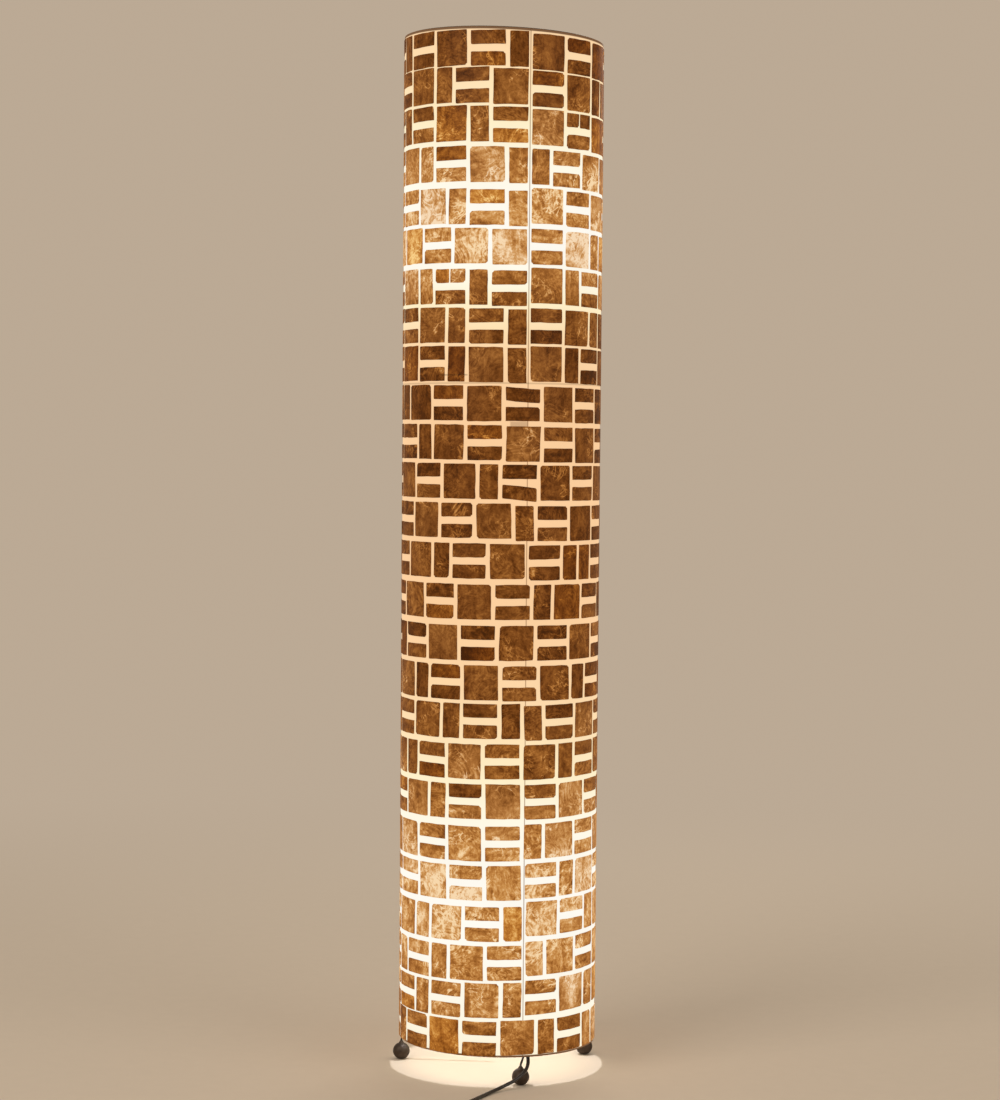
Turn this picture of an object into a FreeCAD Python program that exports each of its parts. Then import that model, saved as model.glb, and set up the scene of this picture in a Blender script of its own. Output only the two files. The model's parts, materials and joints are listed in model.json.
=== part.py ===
"""Column floor lamp: a rolled resin sheet with shell chips round a wire frame, two lamps inside, a flat twin cord.

Millimetres. Origin on the floor at the shade's axis, X to the right, Y to the back, Z up.
Angles round the axis are counted from the front (-Y) towards the right (+X).
"""
import FreeCAD, Part
import math
import os
import Sketcher

Vector = FreeCAD.Vector
UP = Vector(0, 0, 1)
ORIGIN = Vector(0, 0, 0)

doc = FreeCAD.newDocument("ColumnFloorLamp")

# ---------------------------------------------------------------- driving dimensions
DIMENSIONS = {
    # shade
    "chip_face_radius": 145.0,
    "chip_thickness": 0.8,
    "glue_line": 0.2,
    "skin_thickness": 1.5,
    "floor_clearance": 41.0,
    "lower_height": 960.0,
    "upper_height": 496.0,
    "lower_courses": 17,
    "upper_courses": 9,
    "rim_margin": 5.0,
    "top_slant": 1.9,
    "bottom_slant": 0.7,
    "seam_angle": 15.0,
    "seam_slit": 0.6,
    "backing_width": 14.0,
    "backing_thickness": 0.8,
    # shell chips
    "chip_side": 50.0,
    "narrow_width": 27.0,
    "strip_height": 20.0,
    "joint_width": 6.0,
    "course_tilt_top": 2.4,
    "course_tilt_bottom": -1.4,
    # wire frame
    "wire": 3.0,
    "weld_gap": 0.1,
    "fit_gap": 0.3,
    "ring_proud": 1.2,
    "front_foot_angle": 14.0,
    "front_rod_angle": 16.2,
    "right_foot_angle": 113.0,
    "left_foot_angle": -97.0,
    "foot_inset": 2.0,
    "ball": 25.0,
    "ball_flat": 0.5,
    "collar_height": 4.5,
    "collar_width": 9.0,
    "collar_top": 4.2,
    "jog_height": 9.0,
    "jog_bend": 5.0,
    # spiders and stems
    "lower_spider_rise": 49.0,
    "upper_spider_rise": 28.0,
    "hub_width": 30.0,
    "hub_thickness": 3.0,
    "stem_width": 10.0,
    "stem_bore": 7.0,
    "stem_rise": 52.0,
    "stem_drop": 12.0,
    "stem_seat": 8.0,
    "nut_flats": 17.0,
    "nut_height": 4.0,
    "bush_width": 15.0,
    "bush_height": 6.0,
    # lampholder
    "holder_width": 39.0,
    "holder_wall": 1.6,
    "cap_height": 24.0,
    "skirt_height": 36.0,
    "core_rise": 15.0,
    "core_top": 26.0,
    "shell_bore": 27.6,
    "shell_wall": 0.4,
    "shell_height": 23.0,
    "contact_width": 8.0,
    "contact_height": 1.7,
    # bulb
    "bulb_width": 60.0,
    "bulb_glass_height": 82.0,
    "bulb_neck": 28.0,
    "glass_wall": 0.8,
    "bulb_cap_width": 26.4,
    "bulb_cap_height": 22.0,
    "bulb_cap_wall": 0.4,
    "insulator_height": 3.6,
    "tip_width": 9.0,
    "tip_height": 1.4,
    "bulb_stem_width": 9.0,
    "bulb_stem_height": 34.0,
    "filament": 0.8,
    "filament_span": 22.0,
    "thread_pitch": 3.629,
    # leads and cord
    "cord": 5.2,
    "riser": 4.0,
    "clip_wall": 0.9,
    "clip_length": 6.0,
    "relief_inset": 33.6,
    "relief_length": 22.0,
    "relief_width": 9.0,
    "cord_lift": 0.05,
    "coil_radius": 41.5,
    "coil_gap": 0.65,
    "coil_tuck": 1.4,
    "coil_half_turns": 7,
    # inline switch
    "switch_length": 56.0,
    "switch_width": 24.0,
    "switch_height": 17.0,
    "switch_wall": 2.0,
    "switch_corner": 6.0,
    "rocker_length": 15.0,
    "rocker_width": 9.0,
    "rocker_gap": 0.4,
    "rocker_pin": 2.4,
    "rocker_travel": 14.0,
    "screw_width": 3.0,
    "screw_head": 5.4,
    # plug
    "boot_length": 25.0,
    "plug_length": 34.0,
    "plug_width": 32.0,
    "plug_height": 16.0,
    "plug_corner": 5.0,
    "pin_width": 4.0,
    "pin_length": 19.0,
    "pin_spacing": 18.6,
}

sheet = doc.addObject("Spreadsheet::Sheet", "Sizes")
for row, (alias, value) in enumerate(DIMENSIONS.items(), start=1):
    sheet.set(f"A{row}", alias)
    sheet.set(f"B{row}", str(value))
    sheet.setAlias(f"B{row}", alias)
doc.recompute()


class Size:
    """A size of the lamp: its number, and the words that bind a property to the sheet."""

    def __init__(self, number, words):
        self.number = float(number)
        self.words = words

    def __float__(self):
        return self.number

    def joined(self, sign, number, other, swapped=False):
        words = other.words if isinstance(other, Size) else str(other)
        first, second = (words, self.words) if swapped else (self.words, words)
        return Size(number, f"({first} {sign} {second})")

    def __add__(self, other):
        return self.joined("+", self.number + float(other), other)

    def __radd__(self, other):
        return self.joined("+", float(other) + self.number, other, swapped=True)

    def __sub__(self, other):
        return self.joined("-", self.number - float(other), other)

    def __rsub__(self, other):
        return self.joined("-", float(other) - self.number, other, swapped=True)

    def __mul__(self, other):
        return self.joined("*", self.number * float(other), other)

    def __rmul__(self, other):
        return self.joined("*", float(other) * self.number, other, swapped=True)

    def __truediv__(self, other):
        return self.joined("/", self.number / float(other), other)


def size(alias):
    return Size(float(sheet.get(alias)), f"Sizes.{alias}")


def number(alias):
    return float(size(alias))


def bind(thing, **sizes):
    """Binds each named property of a document object to its size."""
    for name, value in sizes.items():
        thing.setExpression(name, value.words)
    return thing


# ---------------------------------------------------------------- shared helpers
nodes = []


def node(thing, label, at=ORIGIN, turn=None):
    """Names a finished sub-part, sets it in place and lists it for writing."""
    thing.Label = label
    thing.Placement = FreeCAD.Placement(at, turn or FreeCAD.Rotation())
    nodes.append(thing)
    return thing


def origin_plane(body, role):
    return next(plane for plane in body.Origin.OriginFeatures if plane.Role == role)


def sketch_on(body, name, role="XZ_Plane"):
    sketch = body.newObject("Sketcher::SketchObject", name)
    sketch.AttachmentSupport = (origin_plane(body, role), [""])
    sketch.MapMode = "FlatFace"
    return sketch


def outline(sketch, corners):
    """A closed outline whose corners lie at bound distances from the sketch's origin."""
    points = [Vector(float(across), float(up), 0) for across, up in corners]
    first = sketch.GeometryCount
    count = len(points)
    for k in range(count):
        sketch.addGeometry(Part.LineSegment(points[k], points[(k + 1) % count]), False)
    for k in range(count):
        joint = Sketcher.Constraint("Coincident", first + k, 2, first + (k + 1) % count, 1)
        sketch.addConstraint(joint)
    for k, corner in enumerate(corners):
        for kind, distance in zip(("DistanceX", "DistanceY"), corner):
            held = Sketcher.Constraint(kind, -1, 1, first + k, 1, float(distance))
            index = sketch.addConstraint(held)
            if isinstance(distance, Size):
                sketch.setExpression(f"Constraints[{index}]", distance.words)


def circle(sketch, width, across=0.0, up=0.0):
    """A circle of a bound diameter, its centre at bound distances from the sketch's origin."""
    centre = Vector(float(across), float(up), 0)
    index = sketch.addGeometry(Part.Circle(centre, UP, float(width) / 2), False)
    held = sketch.addConstraint(Sketcher.Constraint("Diameter", index, float(width)))
    sketch.setExpression(f"Constraints[{held}]", width.words)
    for kind, distance in (("DistanceX", across), ("DistanceY", up)):
        held = sketch.addConstraint(Sketcher.Constraint(kind, -1, 1, index, 3, float(distance)))
        if isinstance(distance, Size):
            sketch.setExpression(f"Constraints[{held}]", distance.words)


def rectangle(sketch, across, up, width, height):
    """A rectangle from its low corner, with bound sides."""
    outline(sketch, [(across, up), (across + width, up), (across + width, up + height), (across, up + height)])


def new_body(name):
    return doc.addObject("PartDesign::Body", name)


def turned(label, corners, at=ORIGIN, sweep=None, turn=None):
    """A turned piece: an outline of (radius, height) corners swept round the upright axis."""
    body = new_body(label)
    sketch = sketch_on(body, f"{label}_outline")
    outline(sketch, corners)
    feature = body.newObject("PartDesign::Revolution", f"{label}_turned")
    feature.Profile = sketch
    feature.ReferenceAxis = (sketch, ["V_Axis"])
    if sweep is None:
        feature.Angle = 360
    else:
        bind(feature, Angle=sweep)
    return node(body, label, at, turn)


def pad(body, sketch, length, name, midplane=False):
    feature = body.newObject("PartDesign::Pad", name)
    feature.Profile = sketch
    bind(feature, Length=length)
    feature.Midplane = midplane
    return feature


def pocket(body, sketch, length, name, reversed_cut=False):
    """A pocket that has to remove something, whichever way it points."""
    before = body.Tip.Shape.Volume
    feature = body.newObject("PartDesign::Pocket", name)
    feature.Profile = sketch
    bind(feature, Length=length)
    feature.Reversed = reversed_cut
    doc.recompute()
    if not feature.Shape.Volume < before - 1e-3:
        raise RuntimeError(f"{name} cuts nothing")
    return feature


def round_edges(body, radius, name, wanted):
    """Rounds the edges of the body's last feature that the test picks."""
    doc.recompute()
    base = body.Tip
    names = [f"Edge{k}" for k, edge in enumerate(base.Shape.Edges, start=1) if wanted(edge)]
    feature = body.newObject("PartDesign::Fillet", name)
    feature.Base = (base, names)
    bind(feature, Radius=radius)
    return feature


def shape_node(label, shape, at=ORIGIN, turn=None):
    """A sub-part whose shape is worked out here from the sheet's sizes."""
    feature = doc.addObject("Part::Feature", label)
    feature.Shape = shape
    return node(feature, label, at, turn)


def primitive(kind, name, at=ORIGIN, turn=None, **sizes):
    thing = bind(doc.addObject(f"Part::{kind}", name), **sizes)
    thing.Placement = FreeCAD.Placement(at, turn or FreeCAD.Rotation())
    return thing


def fused(name, pieces):
    joined = doc.addObject("Part::MultiFuse", name)
    joined.Shapes = pieces
    return joined


def cut(name, base, tool):
    result = doc.addObject("Part::Cut", name)
    result.Base = base
    result.Tool = tool
    return result


def around(radius, angle, height):
    """The point at this radius, angle from the front and height."""
    turn = math.radians(angle)
    return Vector(radius * math.sin(turn), -radius * math.cos(turn), height)


def bend_radius(before, corner, after):
    """The largest arc that a cord's two runs allow at their corner."""
    shorter = min((corner - before).Length, (after - corner).Length)
    half_turn = (corner - before).getAngle(after - corner) / 2
    return 0.45 * shorter / math.tan(half_turn)


def bent_path(points, radii):
    """Straight runs through the points, joined by tangent arcs of the given radii."""
    edges = []
    start = points[0]
    for before, corner, after, radius in zip(points, points[1:], points[2:], radii):
        arrive = (corner - before).normalize()
        leave = (after - corner).normalize()
        half_turn = arrive.getAngle(leave) / 2
        reach = radius * math.tan(half_turn)
        arc_start = corner - arrive * reach
        arc_end = corner + leave * reach
        towards_centre = (leave - arrive).normalize()
        middle = corner + towards_centre * (radius / math.cos(half_turn) - radius)
        edges.append(Part.LineSegment(start, arc_start).toShape())
        edges.append(Part.Arc(arc_start, middle, arc_end).toShape())
        start = arc_end
    edges.append(Part.LineSegment(start, points[-1]).toShape())
    return Part.Wire(edges)


def tube_along(path, width):
    """A round tube along a smooth wire."""
    first = path.OrderedEdges[0]
    along = first.tangentAt(first.FirstParameter)
    ring = Part.Wire(Part.Circle(path.OrderedVertexes[0].Point, along, width / 2).toShape())
    return path.makePipeShell([ring], True, False)


def report_tube(label, shape, path, width, radii):
    """Prints the bends of a cord's tube and compares its volume with section times length."""
    expected = math.pi * (width / 2) ** 2 * path.Length
    print(
        f"{label}: length {path.Length:.1f}, tightest bend {min(radii, default=0):.1f},"
        f" volume over section times length {shape.Volume / expected:.4f}"
    )
    if radii:
        print(f"{label}: bends " + " ".join(f"{radius:.0f}" for radius in radii))


def lead(label, points, width, radii=None):
    """A lead's or cord's tube through hand-chosen points."""
    if radii is None:
        radii = [bend_radius(*triple) for triple in zip(points, points[1:], points[2:])]
    path = bent_path(points, radii) if radii else Part.Wire(Part.LineSegment(*points).toShape())
    shape = tube_along(path, width)
    report_tube(label, shape, path, width, radii)
    return shape_node(label, shape)


# ---------------------------------------------------------------- levels shared by the pieces
skin_outside = size("chip_face_radius") - size("chip_thickness") - size("glue_line")
skin_inside = skin_outside - size("skin_thickness")
ring_radius = skin_inside - size("fit_gap") - size("wire") / 2
rod_radius = float(ring_radius) - number("wire") - number("weld_gap")
joint_level = number("floor_clearance") + number("lower_height")
top_level = joint_level + number("upper_height")
top_slope = math.tan(math.radians(number("top_slant")))
bottom_slope = math.tan(math.radians(number("bottom_slant")))


def slanting(degrees):
    """A rim that runs down towards the right by this slant."""
    return FreeCAD.Rotation(Vector(0, 1, 0), degrees)


# ---------------------------------------------------------------- shade skin
def skin(label, height, level, slant, trims_top):
    """A rolled sheet, open at its seam, trimmed at the slanting rim."""
    spare = size("rim_margin") * 2
    grows_down = number("rim_margin") * 2 if not trims_top else 0.0
    body = new_body(f"{label}_roll")
    sketch = sketch_on(body, f"{label}_section")
    outline(
        sketch,
        [
            (skin_inside, Size(0, "0")),
            (skin_outside, Size(0, "0")),
            (skin_outside, height + spare),
            (skin_inside, height + spare),
        ],
    )
    slit = math.degrees(number("seam_slit") / float(skin_outside))
    roll = body.newObject("PartDesign::Revolution", f"{label}_rolled")
    roll.Profile = sketch
    roll.ReferenceAxis = (sketch, ["V_Axis"])
    bind(roll, Angle=360 - size("seam_slit") / skin_outside * (180 / math.pi))
    turn = FreeCAD.Rotation(UP, number("seam_angle") - 90 + slit / 2)
    body.Placement = FreeCAD.Placement(Vector(0, 0, level - grows_down), turn)
    rim_level = level + float(height) if trims_top else level
    block_side = float(skin_outside) * 4
    drop = 0.0 if trims_top else -block_side
    corner = slanting(slant).multVec(Vector(-block_side / 2, -block_side / 2, drop))
    block = primitive(
        "Box",
        f"{label}_trim",
        Vector(0, 0, rim_level) + corner,
        slanting(slant),
        Length=skin_outside * 4,
        Width=skin_outside * 4,
        Height=skin_outside * 4,
    )
    return node(cut(f"{label}_cut", body, block), label)


skin("shade_skin_upper", size("upper_height"), joint_level, number("top_slant"), True)
skin("shade_skin_lower", size("lower_height"), number("floor_clearance"), number("bottom_slant"), False)


def backing_strip(low, high):
    """The strip glued behind the seam, between two rings."""
    outside = float(skin_inside) - number("glue_line")
    inside = outside - number("backing_thickness")
    start = Vector(inside, 0, low)
    section = Part.makePolygon([start, Vector(outside, 0, low), Vector(outside, 0, high), Vector(inside, 0, high), start])
    width = math.degrees(number("backing_width") / outside)
    strip = Part.Face(section).revolve(ORIGIN, UP, width)
    strip.rotate(ORIGIN, UP, number("seam_angle") - 90 - width / 2)
    return strip


rim_room = number("wire") + number("fit_gap") + float(ring_radius) * top_slope
backing_strips = [
    backing_strip(number("floor_clearance") + rim_room, joint_level - number("wire")),
    backing_strip(joint_level + number("wire"), top_level - rim_room),
]
shape_node("seam_backing", Part.makeCompound(backing_strips))


# ---------------------------------------------------------------- shell chips
# Each course from the top: letters left of the seam, letters right of it, how far the first chip on
# the right reaches over the seam (0: a joint lies on it), and how far the course hangs below its even
# place just left of the seam and just right of it. S square, V narrow upright, H two lying strips,
# D two lying strips, the upper one in halves.
COURSES = [
    ("VHSHV", "SHSH", 0, -0.4, 1.2),
    ("HSVHS", "HSVV", 0, -2.6, -2.6),
    ("VHSVH", "SDSH", 0, -4, -4),
    ("SVHSV", "VHSV", 0, -2.4, -2.8),
    ("HSVHV", "SHSH", 0, 3, -3),
    ("SHSS", "HSVV", 0, 2.4, -0.5),
    ("SVDVH", "SVHV", 0, 5.8, -0.6),
    ("HSVHV", "HSVV", 0, 5, 2),
    ("SHVSV", "SVHV", 0, 4.5, 0.8),
    ("VSHS", "HSHV", 32, 4.4, 2.8),
    ("HVSH", "SHSH", 31, 2.9, 3.8),
    ("SHSV", "HSHS", 36, 1.5, 1.8),
    ("HSHS", "VHSH", 17, 0.2, 3.2),
    ("HSVHS", "HVVH", 0, 1, 2.8),
    ("HSHS", "HVSHV", 45, 2.7, 2.5),
    ("VHSH", "SHSH", 39, 4.8, 4.3),
    ("SVHS", "HSVH", 34, 4.4, 5.7),
    ("HSVHV", "VHSH", 2, 2.6, 6),
    ("VVHSH", "SVHS", 2.5, 4, 5.8),
    ("HSVHS", "HSHV", 1, 4.8, 6.6),
    ("VSHSH", "VSHS", 1, 9, 6.8),
    ("HSHS", "HVSH", -1, 8.9, 7.4),
    ("HSVSHV", "SHV", 0, 11.8, 5.7),
    ("VHVSH", "VSHV", 0, 11.6, 6.8),
    ("HVHSV", "HSV", 0, 8.8, 7),
    ("VHSH", "SVHV", 33, 8.6, 6),
]
BACK_PATTERN = "SHVHS"
COURSES_A_NODE = 4


def chip_width(letter):
    return number("narrow_width") if letter == "V" else number("chip_side")


def back_letters(room):
    """Letters for the hidden back that leave the joints nearest to their usual width."""
    joint = number("joint_width")
    wide = number("chip_side") + joint
    narrow = number("narrow_width") + joint
    choices = [(round((room - slim * narrow) / wide), slim) for slim in range(4)]
    broad, slim = min(choices, key=lambda pick: abs(room - pick[0] * wide - pick[1] * narrow))
    letters = [BACK_PATTERN[k % len(BACK_PATTERN)].replace("V", "S") for k in range(broad)]
    for k in range(slim):
        letters.insert((k + 1) * (broad + 1) // (slim + 1), "V")
    return "".join(letters)


def course_layout(course):
    """(letter, start along the chips' circle, width) for each chip of a course, from the seam round to it."""
    left, right, reach = course[:3]
    girth = 2 * math.pi * number("chip_face_radius")
    joint = number("joint_width")
    seen = sum(chip_width(letter) + joint for letter in left + right)
    letters = right + back_letters(girth - seen) + left
    widths = [chip_width(letter) for letter in letters]
    gap = (girth - sum(widths)) / len(widths)
    place = number("seam_angle") / 360 * girth + (gap / 2 if reach == 0 else -reach)
    chips = []
    for letter, width in zip(letters, widths):
        chips.append((letter, place, width))
        place += width + gap
    return chips


def chip(place, width, low, height):
    """A curved chip: its section swept round the axis."""
    outside = number("chip_face_radius")
    inside = outside - number("chip_thickness")
    start = Vector(inside, 0, low)
    section = Part.makePolygon(
        [start, Vector(outside, 0, low), Vector(outside, 0, low + height), Vector(inside, 0, low + height), start]
    )
    solid = Part.Face(section).revolve(ORIGIN, UP, math.degrees(width / outside))
    solid.rotate(ORIGIN, UP, math.degrees(place / outside) - 90)
    return solid


def course_tilt(index):
    """How far the course runs down to the right, in degrees: rims at both ends, a slow turn between."""
    last = len(COURSES) - 1
    if index == 0:
        return number("top_slant")
    if index == last:
        return number("bottom_slant")
    share = (index - 1) / (last - 2)
    return number("course_tilt_top") * (1 - share) + number("course_tilt_bottom") * share


def course_level(index):
    """The lowest line of a course, before its tilt."""
    upper = int(number("upper_courses"))
    if index < upper:
        pitch = (number("upper_height") - number("rim_margin")) / upper
        top = top_level - number("rim_margin") - index * pitch
    else:
        pitch = (number("lower_height") - number("rim_margin") / 2) / number("lower_courses")
        top = joint_level - (index - upper) * pitch
    return top - number("chip_side")


def course_chips(index):
    """The solids of one course."""
    outside = number("chip_face_radius")
    seam = number("seam_angle") / 360 * 2 * math.pi * outside
    girth = 2 * math.pi * outside
    strip = number("strip_height")
    side = number("chip_side")
    left_drop, right_drop = COURSES[index][3:]
    solids = []
    for letter, place, width in course_layout(COURSES[index]):
        middle = place + width / 2
        tilt = math.tan(math.radians(course_tilt(index)))
        share = min(max(1 - (middle - seam) / girth, 0.0), 1.0)
        low = course_level(index) - outside * math.sin(middle / outside) * tilt
        low -= right_drop * share + left_drop * (1 - share)
        if letter in "SV":
            solids.append(chip(place, width, low, side))
            continue
        solids.append(chip(place, width, low, strip))
        high = low + side - strip
        if letter == "D":
            half = (width - number("joint_width") / 3) / 2
            solids.append(chip(place, half, high, strip))
            solids.append(chip(place + width - half, half, high, strip))
        else:
            solids.append(chip(place, width, high, strip))
    return solids


for first in range(0, len(COURSES), COURSES_A_NODE):
    after = min(first + COURSES_A_NODE, len(COURSES))
    solids = [solid for index in range(first, after) for solid in course_chips(index)]
    shape_node(f"shell_chips_{first + 1:02d}_{after:02d}", Part.makeCompound(solids))


# ---------------------------------------------------------------- wire frame
def wire_ring(label, level, slant):
    ring = primitive("Torus", label, Radius1=ring_radius, Radius2=size("wire") / 2)
    return node(ring, label, Vector(0, 0, level), slanting(slant))


ring_lift = number("ring_proud") - number("wire") / 2
wire_ring("top_ring", top_level + ring_lift, number("top_slant"))
wire_ring("middle_ring", joint_level, 0)
wire_ring("bottom_ring", number("floor_clearance") - ring_lift, number("bottom_slant"))

FEET = {
    "front": (number("front_rod_angle"), number("front_foot_angle")),
    "right": (number("right_foot_angle"), number("right_foot_angle")),
    "left": (number("left_foot_angle"), number("left_foot_angle")),
}
foot_circle = number("chip_face_radius") - number("foot_inset")
ball_radius = size("ball") / 2
ball_centre = ball_radius - size("ball_flat")
collar_level = ball_centre + ball_radius * 0.86


def foot_ball(label, at):
    """A forged ball with a small flat underneath and a weld collar on top."""
    low_angle = Size(
        -math.degrees(math.asin(float(ball_centre) / float(ball_radius))),
        f"-asin({ball_centre.words} / {ball_radius.words})",
    )
    ball = primitive("Sphere", f"{label}_ball", Vector(0, 0, float(ball_centre)), Radius=ball_radius, Angle1=low_angle)
    collar = primitive(
        "Cone",
        f"{label}_collar",
        Vector(0, 0, float(collar_level)),
        Radius1=size("collar_width") / 2,
        Radius2=size("collar_top") / 2,
        Height=size("collar_height"),
    )
    return node(fused(f"{label}_welded", [ball, collar]), label, at)


def upright_rod(label, rod_angle, foot_at):
    """A rod from the foot's collar, through its jog, up inside the rings."""
    collar_end = float(collar_level) + number("collar_height")
    rod_at = around(rod_radius, rod_angle, 0)
    top = top_level + ring_lift - rod_at.x * top_slope
    end_run = number("wire") * 0.75
    points = [
        foot_at + UP * collar_end,
        foot_at + UP * (collar_end + end_run),
        rod_at + UP * (collar_end + end_run + number("jog_height")),
        rod_at + UP * top,
    ]
    bend = number("jog_bend")
    path = bent_path(points, [bend, bend])
    return shape_node(label, tube_along(path, number("wire")))


for side_name, (rod_angle, foot_angle) in FEET.items():
    foot_at = around(foot_circle, foot_angle, 0)
    foot_ball(f"foot_ball_{side_name}", foot_at)
    upright_rod(f"upright_rod_{side_name}", rod_angle, foot_at)


# ---------------------------------------------------------------- spiders, stems and lampholders
def spider(label, level):
    """A drilled hub with three wire arms that end at the rods."""
    hub = primitive("Cylinder", f"{label}_disc", Radius=size("hub_width") / 2, Height=size("hub_thickness"))
    arm_length = Size(rod_radius, str(rod_radius)) - size("wire") / 2 - size("weld_gap")
    arms = []
    for side_name, (rod_angle, _) in FEET.items():
        towards = around(1, rod_angle, 0)
        turn = FreeCAD.Rotation(UP, towards)
        start = around(number("hub_width") / 4, rod_angle, number("hub_thickness") / 2)
        arms.append(
            primitive(
                "Cylinder",
                f"{label}_arm_{side_name}",
                start,
                turn,
                Radius=size("wire") / 2,
                Height=arm_length - size("hub_width") / 4,
            )
        )
    welded = fused(f"{label}_welded", [hub] + arms)
    hole = primitive(
        "Cylinder",
        f"{label}_hole",
        Vector(0, 0, -number("wire")),
        Radius=size("stem_width") / 2 + size("fit_gap"),
        Height=size("hub_thickness") + size("wire") * 2,
    )
    return node(cut(f"{label}_drilled", welded, hole), label, Vector(0, 0, level))


lock_nuts = []
bushes = []


def add_lock_nuts(name, hub_level):
    """Two hexagon nuts that clamp the hub on the stem."""
    for where, level in (
        ("under", hub_level - number("nut_height")),
        ("over", hub_level + number("hub_thickness")),
    ):
        prism = primitive("Prism", f"{name}_nut_{where}_hexagon", Vector(0, 0, level), Height=size("nut_height"))
        prism.Polygon = 6
        bind(prism, Circumradius=size("nut_flats") / math.sqrt(3))
        bore = primitive(
            "Cylinder",
            f"{name}_nut_{where}_bore",
            Vector(0, 0, level - number("nut_height")),
            Radius=size("stem_width") / 2 + size("weld_gap"),
            Height=size("nut_height") * 3,
        )
        lock_nuts.append(cut(f"{name}_nut_{where}", prism, bore))


def together(label, pieces):
    """Identical pieces that share one node as separate solids."""
    group = doc.addObject("Part::Compound", label)
    group.Links = pieces
    return node(group, label)


def lamp_unit(name, hub_level):
    """Everything that stands on one spider, from the cord bush up to the bulb."""
    spider(f"{name}_spider", hub_level)
    add_lock_nuts(name, hub_level)
    stem_foot = hub_level - number("stem_drop")
    stem_radius = size("stem_width") / 2
    stem_length = size("stem_drop") + size("hub_thickness") + size("stem_rise") + size("stem_seat")
    bore = size("stem_bore") / 2
    turned(
        f"{name}_stem",
        [(bore, 0), (stem_radius, 0), (stem_radius, stem_length), (bore, stem_length)],
        Vector(0, 0, stem_foot),
    )
    bushes.append(
        primitive(
            "Cylinder",
            f"{name}_cord_bush",
            Vector(0, 0, stem_foot - number("bush_height")),
            Radius=size("bush_width") / 2,
            Height=size("bush_height"),
        )
    )
    base = hub_level + number("hub_thickness") + number("stem_rise")
    lampholder(name, Vector(0, 0, base))
    bulb(name, Vector(0, 0, base + number("core_top") + number("contact_height")))


def lampholder(name, at):
    """A screw lampholder: cap on the stem, core, centre contact, screw shell and skirt."""
    outside = size("holder_width") / 2
    inside = outside - size("holder_wall")
    boss = size("stem_width") / 2 + size("weld_gap")
    boss_outside = boss + size("holder_wall") * 2
    seat = size("stem_seat")
    cap_height = size("cap_height")
    turned(
        f"{name}_holder_cap",
        [
            (boss, 0),
            (boss_outside, 0),
            (boss_outside, seat / 2),
            (outside, seat * 1.5),
            (outside, cap_height),
            (inside, cap_height),
            (inside, seat * 1.8),
            (boss_outside, seat * 1.2),
            (boss, seat * 1.2),
        ],
        at,
    )
    core_rise = size("core_rise")
    core_top = size("core_top")
    core_outside = inside - size("fit_gap")
    shell_bore = size("shell_bore") / 2
    shell_outside = shell_bore + size("shell_wall")
    turned(
        f"{name}_holder_core",
        [
            (0, core_rise),
            (core_outside, core_rise),
            (core_outside, cap_height - size("fit_gap")),
            (shell_outside, cap_height - size("fit_gap")),
            (shell_outside, core_top),
            (0, core_top),
        ],
        at,
    )
    contact = size("contact_width") / 2
    contact_top = core_top + size("contact_height")
    turned(
        f"{name}_holder_contact",
        [(0, core_top), (contact, core_top), (contact, contact_top), (0, contact_top)],
        at,
    )
    shell_top = core_top + size("shell_height")
    turned(
        f"{name}_holder_screw_shell",
        [
            (shell_bore - size("holder_wall"), core_top),
            (shell_outside, core_top),
            (shell_outside, shell_top),
            (shell_bore, shell_top),
            (shell_bore, core_top + size("shell_wall")),
            (shell_bore - size("holder_wall"), core_top + size("shell_wall")),
        ],
        at,
    )
    skirt_top = cap_height + size("skirt_height")
    lip = size("bulb_neck") / 2 + size("holder_wall") * 2
    turned(
        f"{name}_holder_skirt",
        [
            (inside - size("holder_wall") / 2, cap_height),
            (outside, cap_height),
            (outside, skirt_top - size("holder_wall") * 2),
            (outside + size("holder_wall"), skirt_top - size("holder_wall")),
            (outside + size("holder_wall"), skirt_top),
            (lip, skirt_top),
            (lip, skirt_top - size("holder_wall") * 2),
            (inside - size("holder_wall") / 2, skirt_top - size("holder_wall") * 2),
        ],
        at,
    )


def bulb(name, at):
    """A pear-shaped bulb standing on the centre contact."""
    tip = size("tip_width") / 2
    tip_height = size("tip_height")
    cap_radius = size("bulb_cap_width") / 2
    cap_inside = cap_radius - size("bulb_cap_wall")
    cap_foot = tip_height + size("insulator_height")
    cap_top = cap_foot + size("bulb_cap_height")
    neck = size("bulb_neck") / 2
    turned(
        f"{name}_bulb_tip",
        [(0, 0), (tip, 0), (tip, tip_height), (cap_radius - size("holder_wall"), cap_foot), (0, cap_foot)],
        at,
    )
    turned(
        f"{name}_bulb_cap",
        [
            (0, cap_foot),
            (cap_radius - size("holder_wall"), cap_foot),
            (cap_radius, cap_foot + size("holder_wall")),
            (cap_radius, cap_top - size("holder_wall") * 2),
            (neck, cap_top),
            (neck - size("bulb_cap_wall"), cap_top),
            (cap_inside, cap_top - size("holder_wall") * 2),
            (cap_inside, cap_foot + size("holder_wall")),
            (0, cap_foot + size("bulb_cap_wall")),
        ],
        at,
    )
    glass_at = at + UP * float(cap_top)
    glass_envelope(f"{name}_bulb_glass", glass_at)
    bulb_mount(f"{name}_bulb_filament_mount", glass_at)


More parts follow.
